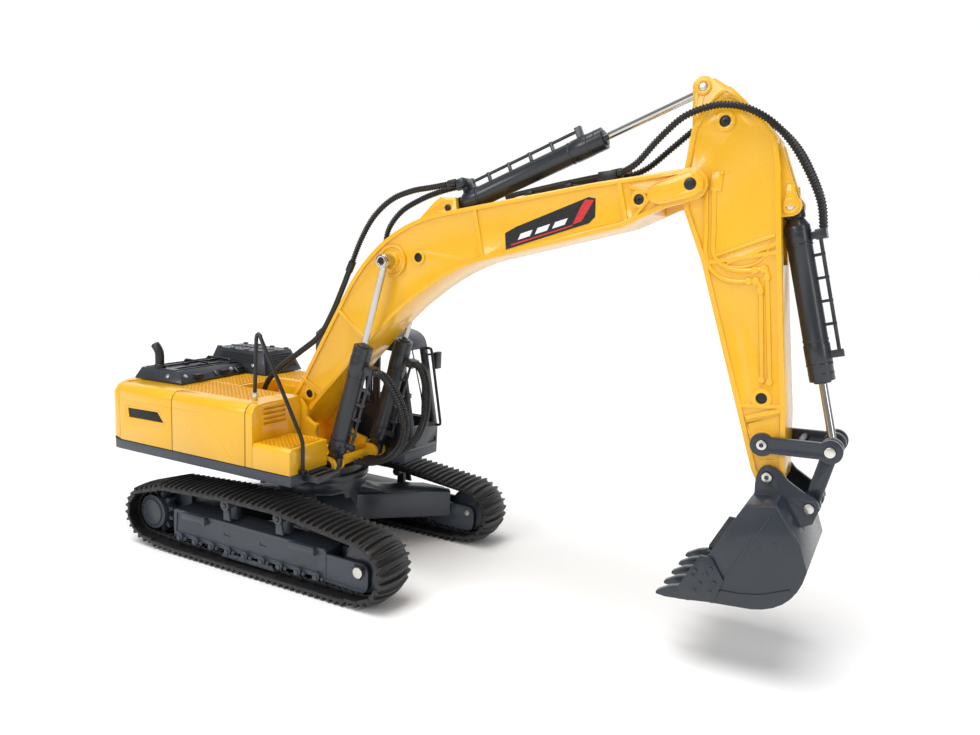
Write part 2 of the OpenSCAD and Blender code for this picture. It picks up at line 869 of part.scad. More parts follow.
module front_step() {
    color("#2c3036") placed()
        difference() {
            block([18.05, -32.2, 36.6], [25.4, -19.4, 39]);
            for (x = [19.2, 22.4])
                block([x, -31.2, 36], [x + 1.9, -20.4, 40]);
        }
}

// ---- boom ----

function boom_outline() = concat(
    [[1.8, 57.6]],
    curve([31, 88.8], [56.3, 115.2], [79, 121.1], 10),
    [[127, 133.4], [141, 139.8]],
    arc(boom_tip, 5, -62, 92, 8),
    [[116.9, 147.2]],
    curve([62, 137.2], [33.7, 132.3], [18, 105], 12),
    [[-3, 69]],
    arc(boom_foot, 6, 150, 290, 8)
);

module boom_rib(a, b, w) {
    d = unit(b - a) * w / 2;
    polygon([a + [d.y, -d.x], b + [d.y, -d.x], b + [-d.y, d.x], a + [-d.y, d.x]]);
}

module boom() {
    color("#f2a900") placed()
        difference() {
            union() {
                slab(-boom_core, boom_core)
                    polygon(boom_outline());
                both() {
                    slab(boom_core - 0.1, boom_half_w)
                        difference() {
                            polygon(boom_outline());
                            polygon(inset(boom_outline(), 1.5));
                        }
                    slab(boom_core - 0.1, boom_half_w) {
                        intersection() {
                            polygon(boom_outline());
                            union() {
                                boom_rib([-4, 71.4], [9, 62.6], 1.3);
                                boom_rib([-4, 51], [6, 62], 3);
                                boom_rib([13.6, 100.4], [30.4, 86.6], 1.2);
                                boom_rib([78.8, 117.6], [73.2, 141.4], 1.3);
                                boom_rib([125.2, 149.6], [129.4, 132.6], 1.3);
                                boom_rib([129.2, 146], [136.8, 143.9], 1);
                                boom_rib([130.9, 136.3], [136.8, 143.9], 1);
                            }
                        }
                        translate(boom_rod_eye)
                            circle(5.6);
                        for (p = boom_screws)
                            translate(p)
                                circle(2.6);
                    }
                    slab(boom_core, boom_half_w + 1.3)
                        polygon(concat(arc(boom_tip, 3.7, -75, 105, 8), arc([138.6, 143.9], 3.1, 105, 285, 8)));
                    cross_bar(boom_rod_eye, 3, boom_core, boom_half_w + 1.7);
                }
                slab(-5, 5)
                    polygon([[46, 131.5], [50.4, 136.2], [54.6, 140.4], [57.4, 142.4], [63.6, 142.4],
                        [64.4, 137.2], [66, 136.2]]);
            }
            slab(-arm_half_w - 0.35, arm_half_w + 0.35)
                polygon([[136.6, 120], [170, 120], [170, 170], [136.6, 170]]);
            slab(-2.9, 2.9)
                polygon([[55.4, 134.4], [68.4, 134.4], [70.4, 146], [56, 146]]);
            slab(-tube_r - 0.6, tube_r + 0.6)
                polygon([[65.4, 136.6], [82, 139.6], [82, 146], [65.4, 146]]);
            slab(-boom_core + 1.8, boom_core - 1.8)
                difference() {
                    polygon(concat(
                        [[3.6, 63]],
                        curve([30, 91.4], [55.2, 117.6], [78.4, 123.6], 8),
                        [[133.4, 137.6], [133.4, 146.2], [116.9, 144.8], [74, 137]],
                        [[72, 132.2], [53.4, 131.8]],
                        curve([50.4, 130.8], [34.6, 127.4], [21, 103.4], 6),
                        [[0.6, 69.6]]
                    ));
                    translate(boom_rod_eye)
                        circle(4.6);
                }
            cross_bar(boom_tip, pin_r + 0.6 + eye_fit, -20, 20);
            cross_bar(boom_foot, 1.8 + eye_fit, -20, 20);
            cross_bar(arm_cyl_foot, pin_r + eye_fit, -20, 20);
            both() {
                cross_bar(boom_rod_eye, pin_r + eye_fit, boom_core - 3, 20);
                for (p = boom_screws)
                    cross_bar(p, 1.7, boom_half_w - 1.6, 20);
            }
        }
}

module boom_plugs() {
    color("#17181a") placed()
        both()
            for (p = boom_screws)
                cross_bar(p, 1.65, boom_half_w - 1.55, boom_half_w - 0.5);
}

module boom_pins() {
    color("#17181a") placed() {
        cross_bar(boom_tip, pin_r + 0.6, -boom_half_w - 1.5, boom_half_w + 1.5);
        cross_bar(arm_cyl_foot, pin_r, -5.3, 5.3);
        both() {
            cross_bar(boom_rod_eye, pin_r, boom_core - 2.9, boom_cyl_y + 2.9);
            cross_bar(boom_rod_eye, 1.8, boom_cyl_y + 2.25, boom_cyl_y + 3);
        }
    }
}

// Height of the boom's top between its cylinder bracket and its tip
function boom_top(x) = 137.2 + (x - 62) * 10 / 54.9;

// Rigid lines along the boom's top, ending in the block for the arm's hoses
module boom_hard_line() {
    color("#17181a") placed() {
        both()
            tube([[84, 5, 142.4], [88, 5, 143.7], [104, 5, 147.1], [114, 5, 149], [118.4, 5, 149.8]], 0.9);
        for (x = [92, 106])
            slab(-6.6, 6.6)
                polygon([
                    [x, boom_top(x) + 0.03], [x + 2.4, boom_top(x + 2.4) + 0.03],
                    [x + 2.4, boom_top(x) + 2.2], [x, boom_top(x) + 1.8]
                ]);
        slab(-6.9, 6.9)
            polygon([[117.6, 147.4], [123.8, 148.3], [123.6, 151.6], [117.6, 150.8]]);
    }
}

module supply_hoses() {
    color("#17181a") placed() {
        tube(smooth(supply_route), hose_r);
        tube(smooth(return_route), hose_r);
    }
}

module arm_hoses() {
    color("#17181a") placed()
        both()
            tube(smooth(arm_route), hose_r);
}

module cylinder_hoses() {
    color("#17181a") placed()
        for (dy = [-1.25, 1.25])
            tube(smooth(port_route(dy)), hose_r);
}

// ---- hydraulic cylinders ----

// Tube with a foot eye at the origin and its open gland at x = len. Its pipe runs on the side given
// by up, and the block for the hoses stands at port_x, port_half wide to each side.
module cylinder_tube(len, up, eye_half, port_x, port_half) {
    color("#2c3540")
        difference() {
            union() {
                cross_bar([0, 0], 2.7, -eye_half, eye_half);
                intersection() {
                    translate([-0.5, 0, 0])
                        rotate([0, 90, 0])
                            cylinder(h = 7, r = 3);
                    block([-3, -eye_half, -3], [3.6, eye_half, 3]);
                }
                translate([3.4, 0, 0])
                    rotate([0, 90, 0])
                        cylinder(h = 2.7, r1 = 2.3, r2 = tube_r + 0.2);
                translate([6, 0, 0])
                    rotate([0, 90, 0])
                        cylinder(h = 5, r = tube_r + 0.2);
                translate([6, 0, 0])
                    rotate([0, 90, 0])
                        cylinder(h = len - 10, r = tube_r);
                translate([len - 11, 0, 0])
                    rotate([0, 90, 0])
                        cylinder(h = 5.5, r = tube_r + 0.2);
                translate([len - 6, 0, 0])
                    rotate([0, 90, 0])
                        cylinder(h = 6, r = tube_r + 0.1);
                for (x = [8.4, len - 8.6])
                    translate([x, -0.9, up > 0 ? 0 : -7.2])
                        cube([2.2, 1.8, 7.2]);
                translate([port_x, -port_half, up > 0 ? 5 : -8])
                    cube([3, port_half * 2, 3]);
                translate([port_x + 0.4, -1.4, up > 0 ? 0 : -6])
                    cube([2.2, 2.8, 6]);
                for (i = [1:4])
                    translate([8 + (len - 18) * i / 5, -0.7, up > 0 ? 2 : -6.6])
                        cube([0.9, 1.4, 4.6]);
                translate([9, 0, up * 6])
                    rotate([0, 90, 0])
                        cylinder(h = len - 16.6, r = 0.55);
            }
            translate([5.2, 0, 0])
                rotate([0, 90, 0])
                    cylinder(h = len, r = tube_bore_r);
            cross_bar([0, 0], pin_r + eye_fit, -9, 9);
        }
}

// Rod with its eye at the origin, running to x = -len
module cylinder_rod(len, eye_half) {
    color("#d9dcde")
        difference() {
            union() {
                cross_bar([0, 0], 2.5, -eye_half, eye_half);
                translate([-len, 0, 0])
                    rotate([0, 90, 0])
                        cylinder(h = len, r = rod_r);
            }
            cross_bar([0, 0], pin_r + eye_fit, -9, 9);
        }
}

module boom_tube() {
    placed()
        along(boom_cyl_foot, boom_rod_eye, boom_cyl_y)
            cylinder_tube(boom_tube_len, -1, 1.7, boom_tube_len - 9, 2.4);
}

module boom_rod() {
    placed()
        along(boom_rod_eye, boom_rod_eye * 2 - boom_cyl_foot, boom_cyl_y)
            cylinder_rod(boom_rod_len, 2.1);
}

module arm_tube() {
    placed()
        along(arm_cyl_foot, arm_rod_eye)
            cylinder_tube(arm_tube_len, 1, 2.6, 5.6, 4.4);
}

module arm_rod() {
    placed()
        along(arm_rod_eye, arm_rod_eye * 2 - arm_cyl_foot)
            cylinder_rod(arm_rod_len, 2.2);
}

module bucket_tube() {
    placed()
        along(bucket_cyl_foot, rocker_eye)
            cylinder_tube(bucket_tube_len, 1, 2.4, 8, 2.9);
}

module bucket_rod() {
    placed()
        along(rocker_eye, rocker_eye * 2 - bucket_cyl_foot)
            cylinder_rod(bucket_rod_len, 2.6);
}

// ---- arm ----

arm_outline = concat(
    [[175.6, 57.6]],
    arc(bucket_pivot, 4.6, 232, 360, 8),
    [[181.6, 80], [178.4, 105.6], [174.8, 138], [173.4, 152], [171.6, 160.6]],
    curve([171.6, 160.6], [166, 167.4], [158, 174.6], 5),
    curve([157.4, 175], [155, 176], [151.4, 172], 4),
    [[146.9, 163.4], [145.7, 151.8], [146.4, 139.4], [152.8, 124.5], [164.6, 88.6], [173.2, 62]]
);

arm_lug_outline = concat(
    [[158, 174.4], [152, 178.2]],
    arc(arm_rod_eye, 3.2, 40, 200, 8),
    [[146.4, 164], [152, 162]]
);

module arm() {
    color("#f2a900") placed()
        difference() {
            union() {
                slab(-arm_core, arm_core)
                    polygon(arm_outline);
                both() {
                    slab(arm_core - 0.1, arm_half_w) {
                        difference() {
                            polygon(arm_outline);
                            polygon(inset(arm_outline, 1.5));
                        }
                        intersection() {
                            polygon(arm_outline);
                            union() {
                                boom_rib([153, 123.4], [176, 128], 1.2);
                                boom_rib([167, 81.2], [182, 82.6], 1.2);
                                boom_rib([160.6, 124], [176, 131], 1.2);
                            }
                        }
                        for (p = concat(arm_screws, [rocker_pivot, bucket_pivot]))
                            translate(p)
                                circle(3);
                    }
                    slab(2.7, 4.9)
                        polygon(arm_lug_outline);
                    slab(2.8, 5.2)
                        polygon(concat(
                            [[172, 139], [174.6, 137.9]],
                            arc(bucket_cyl_foot, 3, -85, 60, 8),
                            [[172.6, 159], [170, 158]]
                        ));
                }
                cross_bar(boom_tip, 4.7, -arm_half_w, arm_half_w);
            }
            slab(-arm_core + 1.8, arm_core - 1.8)
                polygon([[155.6, 126], [172.4, 127.4], [176.6, 88.6], [167.4, 88.4]]);
            slab(-arm_core + 1.8, arm_core - 1.8)
                polygon([[157.4, 137], [170.8, 136], [171.2, 131], [155, 130]]);
            slab(-2.75, 2.75)
                polygon([[140, 171.8], [151.8, 171.8], [160, 182], [140, 182]]);
            slab(-2.75, 2.75)
                polygon([[173.3, 137], [182, 137], [182, 146], [173.3, 145]]);
            slab(-tube_r - 0.6, tube_r + 0.6)
                polygon([[173.7, 137.7], [174.6, 124], [182, 124], [182, 137.7]]);
            cross_bar(boom_tip, pin_r + 0.6 + eye_fit, -20, 20);
            for (p = [arm_rod_eye, bucket_cyl_foot])
                cross_bar(p, pin_r + eye_fit, -20, 20);
            for (p = [rocker_pivot, bucket_pivot])
                cross_bar(p, pin_r + eye_fit, -20, 20);
            both()
                for (p = arm_screws)
                    cross_bar(p, 1.7, arm_half_w - 1.6, 20);
        }
}

module arm_plugs() {
    color("#17181a") placed()
        both()
            for (p = arm_screws)
                cross_bar(p, 1.65, arm_half_w - 1.55, arm_half_w - 0.4);
}

module arm_pins() {
    color("#cfd3d6") placed() {
        cross_bar(arm_rod_eye, pin_r, -5.1, 5.1);
        cross_bar(bucket_cyl_foot, pin_r, -5.5, 5.5);
        for (p = [rocker_pivot, bucket_pivot])
            cross_bar(p, pin_r, -rocker_out - 0.3, rocker_out + 0.3);
    }
}

// ---- bucket and its linkage ----

module rocker() {
    color("#3a414b") placed() {
        both()
            slab(rocker_in, rocker_out)
                difference() {
                    union() {
                        translate(rocker_pivot)
                            circle(rocker_r);
                        translate(rocker_eye)
                            circle(rocker_r);
                        boom_rib(rocker_pivot, rocker_eye, 4.9);
                    }
                    for (p = [rocker_pivot, rocker_eye])
                        translate(p)
                            circle(pin_r + eye_fit);
                }
        cross_bar([186, 71.3], 1.3, -rocker_in - 0.1, rocker_in + 0.1);
    }
}

module rocker_pin() {
    color("#cfd3d6") placed()
        cross_bar(rocker_eye, pin_r, -rocker_out - 0.4, rocker_out + 0.4);
}

module bucket_link() {
    color("#3a414b") placed() {
        both()
            slab(3, 5.8)
                difference() {
                    union() {
                        translate(rocker_eye)
                            circle(3.3);
                        translate(link_eye)
                            circle(2.9);
                        boom_rib(rocker_eye, link_eye, 4.4);
                    }
                    translate(rocker_eye)
                        circle(pin_r + 0.6);
                    translate(link_eye)
                        circle(pin_r + eye_fit);
                }
        cross_bar([192.4, 61], 1.5, -3.1, 3.1);
    }
}

bucket_back = concat(
    [[157.2, 21.2], [166, 22.4], [175.2, 23.1]],
    curve([175.2, 23.1], [190.6, 23.4], [193.1, 38.2], 8),
    [[190.6, 45.4], [184.6, 55]],
    [[182.9, 56.2], [174.8, 54.8]]
);

bucket_side = concat(bucket_back, [[165.2, 37], [157.2, 25]]);

module bucket() {
    wall = 1.2;
    color("#4a515b") placed()
        difference() {
            union() {
                both() {
                    slab(bucket_half_w - wall, bucket_half_w)
                        polygon(bucket_side);
                    slab(arm_half_w + 0.3, ear_out)
                        polygon(concat(
                            [[175.1, 54], [175, 58.6]],
                            curve([175, 58.6], [175.2, 64.6], [178.6, 64.5], 6),
                            curve([178.6, 64.5], [181.4, 64.2], [184.4, 60.6], 4),
                            curve([189, 57.8], [193, 57.6], [193.7, 53.6], 5),
                            [[192.2, 49], [187.8, 46.6], [184, 54.4]]
                        ));
                }
                slab(-bucket_half_w + 0.1, bucket_half_w - 0.1)
                    difference() {
                        polygon(bucket_side);
                        polygon(concat(
                            [[157, 22.6], [166, 24], [175, 24.5]],
                            curve([175, 24.5], [189.4, 24.9], [191.6, 38.2], 8),
                            [[189.2, 44.8], [183.6, 53.7], [182.4, 54.7], [174.6, 53.2], [160, 53.2], [150, 30]]
                        ));
                    }
                slab(-arm_half_w - 0.4, arm_half_w + 0.4)
                    polygon([[182.2, 55.4], [184.8, 54.9], [188.6, 48.2], [190, 46.8], [186, 46], [181, 54.5]]);
            }
            cross_bar(bucket_pivot, pin_r + eye_fit, -20, 20);
            cross_bar(link_eye, pin_r + eye_fit, -20, 20);
        }
}

module link_pin() {
    color("#cfd3d6") placed()
        cross_bar(link_eye, pin_r, -ear_out - 0.3, ear_out + 0.3);
}

module bucket_teeth() {
    color("#4a515b") placed()
        for (i = [-2:2])
            slab(i * 9 - 1.3, i * 9 + 1.3)
                polygon([[149.9, 20.6], [153, 20.3], [157.15, 20.7], [157.15, 24.9], [154, 24], [150, 21.6]]);
}

module side_cutters() {
    outline = [[158, 23.4], [168, 22.8], [170.5, 30.5], [166.4, 36.8], [163, 36.8], [157, 25.2]];
    color("#4a515b") placed()
        both() {
            slab(bucket_half_w + 0.02, bucket_half_w + 0.9)
                polygon(outline);
            for (p = [[161.2, 30], [165.4, 31.4], [163.6, 28.2], [162.2, 25.6], [166.8, 26.2]])
                cross_bar(p, 0.55, bucket_half_w + 0.8, bucket_half_w + 1.4);
        }
}

car_body();
mirror([0, 1, 0]) track_frame();  // track_frame_right
track_frame();  // track_frame_left
mirror([0, 1, 0]) track_belt();  // track_belt_right
track_belt();  // track_belt_left
mirror([0, 1, 0]) track_rollers();  // track_rollers_right
track_rollers();  // track_rollers_left
carrier_rollers();
frame_screws();
slew_ring();
wheel_pins();
mirror([0, 1, 0]) sprocket();  // sprocket_right
sprocket();  // sprocket_left
mirror([0, 1, 0]) idler();  // idler_right
idler();  // idler_left
swing_frame();
swivel_pin();
counterweight();
side_housing_right();
side_housing_left();
toolbox();
centre_deck();
engine_hood();
hood_grille();
exhaust_pipe();
handrail();
boom_bracket();
bracket_pins();
cab_shell();
cab_seat();
cab_console();
cab_mirror();
cab_rail();
front_step();
boom();
boom_plugs();
boom_pins();
boom_hard_line();
supply_hoses();
mirror([0, 1, 0]) boom_tube();  // boom_tube_right
boom_tube();  // boom_tube_left
mirror([0, 1, 0]) boom_rod();  // boom_rod_right
boom_rod();  // boom_rod_left
mirror([0, 1, 0]) cylinder_hoses();  // cylinder_hoses_right
cylinder_hoses();  // cylinder_hoses_left
arm_tube();
arm_rod();
arm();
arm_plugs();
arm_pins();
arm_hoses();
bucket_tube();
bucket_rod();
rocker();
rocker_pin();
bucket_link();
bucket();
bucket_teeth();
side_cutters();
link_pin();
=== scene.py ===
import math

import bmesh
import bpy
from mathutils import Matrix, Vector


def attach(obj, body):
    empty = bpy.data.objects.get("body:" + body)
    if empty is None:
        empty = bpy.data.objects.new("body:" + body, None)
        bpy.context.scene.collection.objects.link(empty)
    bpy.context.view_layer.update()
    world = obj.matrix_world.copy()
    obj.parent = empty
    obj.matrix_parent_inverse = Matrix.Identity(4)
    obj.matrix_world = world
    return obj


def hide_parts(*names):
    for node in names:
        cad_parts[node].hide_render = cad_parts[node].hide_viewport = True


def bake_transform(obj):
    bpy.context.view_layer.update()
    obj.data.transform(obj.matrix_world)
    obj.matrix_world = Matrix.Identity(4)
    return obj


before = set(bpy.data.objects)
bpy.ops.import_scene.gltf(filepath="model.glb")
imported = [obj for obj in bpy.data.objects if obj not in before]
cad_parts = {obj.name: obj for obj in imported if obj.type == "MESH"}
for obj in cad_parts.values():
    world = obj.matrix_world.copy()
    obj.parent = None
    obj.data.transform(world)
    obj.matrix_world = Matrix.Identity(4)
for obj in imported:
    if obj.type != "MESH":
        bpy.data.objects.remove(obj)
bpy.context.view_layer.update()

# ---- camera, at the photo's place: millimetres from the slewing axis and the floor ----

SLEW_X = -54.95


def at(x, y, z):
    """A point in the row frame, in metres, from millimetres measured at the slewing axis."""
    return Vector(((x + SLEW_X) / 1000, y / 1000, z / 1000))


AZIMUTH, ELEVATION, ROLL = math.radians(27.86), math.radians(8.82), math.radians(2.43)
back = Vector(
    (
        math.sin(AZIMUTH) * math.cos(ELEVATION),
        -math.cos(AZIMUTH) * math.cos(ELEVATION),
        math.sin(ELEVATION),
    )
)
right = Vector((math.cos(AZIMUTH), math.sin(AZIMUTH), 0))
up = back.cross(right)
cam_x = right * math.cos(ROLL) + up * math.sin(ROLL)
cam_y = up * math.cos(ROLL) - right * math.sin(ROLL)
cam_data = bpy.data.cameras.new("photo_camera")
cam_data.sensor_width = 36
cam_data.lens = 29.43
cam_data.clip_start = 0.01
cam_data.clip_end = 20
camera = bpy.data.objects.new("photo_camera", cam_data)
camera.matrix_world = Matrix.Translation(at(212.57, -254.94, 126.86)) @ (
    Matrix((cam_x, cam_y, back)).transposed().to_4x4()
)
bpy.context.scene.collection.objects.link(camera)
bpy.context.scene.camera = camera

# Side-view points, x and z, of the hinges and pins
SPROCKET, IDLER = (-53, 13), (53, 13)
CARRIERS = [(15.4, 24.2), (-11, 24.2)]
BOOM_CYLINDER_FOOT, BOOM_CYLINDER_EYE = (17.5, 39), (40.1, 118.9)
ARM_CYLINDER_FOOT, ARM_CYLINDER_EYE = (60.7, 138.7), (148.7, 175.9)
BUCKET_CYLINDER_FOOT, ROCKER_EYE = (176.9, 141.2), (194.9, 71.3)
ARM_PIVOT, ROCKER_PIVOT, BUCKET_PIVOT, LINK_PIN = (148.5, 146.9), (175.9, 70.6), (178.3, 61), (190.8, 53.5)

# ---- materials ----


def node_tree(name):
    mat = bpy.data.materials.new(name)
    mat.use_nodes = True
    tree = mat.node_tree
    return mat, tree, tree.nodes["Principled BSDF"]


def noise(tree, scale, detail=2.0, rough=0.5):
    coord = tree.nodes.new("ShaderNodeTexCoord")
    tex = tree.nodes.new("ShaderNodeTexNoise")
    tex.inputs["Scale"].default_value = scale
    tex.inputs["Detail"].default_value = detail
    tex.inputs["Roughness"].default_value = rough
    tree.links.new(coord.outputs["Object"], tex.inputs["Vector"])
    return tex


def spread(tree, tex, low, high):
    """The noise's middle range spread over low to high."""
    node = tree.nodes.new("ShaderNodeMapRange")
    node.inputs["From Min"].default_value = 0.3
    node.inputs["From Max"].default_value = 0.7
    node.inputs["To Min"].default_value = low
    node.inputs["To Max"].default_value = high
    tree.links.new(tex.outputs["Fac"], node.inputs["Value"])
    return node


def surface(name, dark, light, rough, metal=0.0, coat=0.0, patch=60, grain=1400, bump=0.03, depth=0.0001):
    """A surface whose colour, roughness and height all vary a little: patches over it and grain in it."""
    mat, tree, shader = node_tree(name)
    wide = noise(tree, patch, 4.0, 0.6)
    mix = tree.nodes.new("ShaderNodeMix")
    mix.data_type = "RGBA"
    mix.inputs["A"].default_value = (*dark, 1)
    mix.inputs["B"].default_value = (*light, 1)
    tree.links.new(spread(tree, wide, 0, 1).outputs["Result"], mix.inputs["Factor"])
    tree.links.new(mix.outputs["Result"], shader.inputs["Base Color"])
    fine = noise(tree, grain, 3.0, 0.55)
    tree.links.new(
        spread(tree, fine, rough[0], rough[1]).outputs["Result"],
        shader.inputs["Roughness"],
    )
    height = tree.nodes.new("ShaderNodeBump")
    height.inputs["Strength"].default_value = bump
    height.inputs["Distance"].default_value = depth
    tree.links.new(fine.outputs["Fac"], height.inputs["Height"])
    tree.links.new(height.outputs["Normal"], shader.inputs["Normal"])
    shader.inputs["Metallic"].default_value = metal
    shader.inputs["Coat Weight"].default_value = coat
    shader.inputs["Coat Roughness"].default_value = 0.08
    return mat


YELLOW = surface("yellow_paint", (0.8, 0.42, 0.005), (0.86, 0.46, 0.008), (0.26, 0.38), coat=0.5)
SLATE = surface("slate_paint", (0.036, 0.045, 0.059), (0.046, 0.056, 0.072), (0.4, 0.55), coat=0.1, bump=0.08)
NAVY = surface("navy_paint", (0.013, 0.018, 0.027), (0.019, 0.025, 0.036), (0.3, 0.44), coat=0.25, bump=0.06)
DARK = surface("dark_paint", (0.01, 0.013, 0.018), (0.014, 0.018, 0.025), (0.3, 0.42), coat=0.25, bump=0.06)
BLACK = surface("black_plastic", (0.005, 0.005, 0.006), (0.009, 0.009, 0.01), (0.28, 0.45), bump=0.08)
GREY = surface("grey_plastic", (0.11, 0.12, 0.135), (0.14, 0.15, 0.165), (0.45, 0.6), bump=0.08)
TRACK = surface("track_rubber", (0.006, 0.006, 0.007), (0.011, 0.011, 0.012), (0.34, 0.55), bump=0.15)
HOSE = surface("hose_rubber", (0.004, 0.004, 0.005), (0.008, 0.008, 0.009), (0.3, 0.45), bump=0.1)
CHROME = surface("chrome", (0.5, 0.49, 0.47), (0.6, 0.59, 0.58), (0.06, 0.13), metal=1.0, bump=0.02)
STEEL = surface("bright_steel", (0.62, 0.6, 0.56), (0.72, 0.7, 0.67), (0.24, 0.4), metal=1.0, bump=0.06)
SEAM = surface("seam_black", (0.006, 0.006, 0.006), (0.012, 0.011, 0.01), (0.6, 0.8))
RED = surface("decal_red", (0.52, 0.02, 0.022), (0.6, 0.028, 0.03), (0.25, 0.35), coat=0.3)
WHITE = surface("decal_white", (0.76, 0.77, 0.78), (0.84, 0.85, 0.85), (0.3, 0.4), coat=0.3)
DECAL = surface("decal_black", (0.008, 0.008, 0.009), (0.013, 0.013, 0.014), (0.2, 0.3), coat=0.4)

# ---- edges and shading ----


def smooth_nodes():
    """Shades faces smooth where they meet at less than 35 degrees."""
    group = bpy.data.node_groups.new("smooth_by_angle", "GeometryNodeTree")
    group.interface.new_socket("Geometry", in_out="INPUT", socket_type="NodeSocketGeometry")
    group.interface.new_socket("Geometry", in_out="OUTPUT", socket_type="NodeSocketGeometry")
    start = group.nodes.new("NodeGroupInput")
    end = group.nodes.new("NodeGroupOutput")
    faces = group.nodes.new("GeometryNodeSetShadeSmooth")
    faces.domain = "FACE"
    edges = group.nodes.new("GeometryNodeSetShadeSmooth")
    edges.domain = "EDGE"
    angle = group.nodes.new("GeometryNodeInputMeshEdgeAngle")
    less = group.nodes.new("FunctionNodeCompare")
    less.data_type = "FLOAT"
    less.operation = "LESS_THAN"
    less.inputs["B"].default_value = math.radians(35)
    group.links.new(start.outputs[0], faces.inputs["Geometry"])
    group.links.new(faces.outputs["Geometry"], edges.inputs["Geometry"])
    group.links.new(angle.outputs["Unsigned Angle"], less.inputs["A"])
    group.links.new(less.outputs["Result"], edges.inputs["Shade Smooth"])
    group.links.new(edges.outputs["Geometry"], end.inputs[0])
    return group


SMOOTH = smooth_nodes()


def soften(obj, width, cad=False):
    """Rounds an object's edges by width millimetres and smooths its shading."""
    if cad:
        weld = obj.modifiers.new("weld", "WELD")
        weld.merge_threshold = 2e-6
        flat = obj.modifiers.new("flat", "DECIMATE")
        flat.decimate_type = "DISSOLVE"
        flat.angle_limit = math.radians(0.4)
    if width > 0:
        edge = obj.modifiers.new("edge", "BEVEL")
        edge.width = width / 1000
        edge.segments = 2
        edge.limit_method = "ANGLE"
        edge.angle_limit = math.radians(32)
        edge.use_clamp_overlap = True
        edge.miter_outer = "MITER_SHARP"
    shade = obj.modifiers.new("shade", "NODES")
    shade.node_group = SMOOTH


# ---- building pieces ----


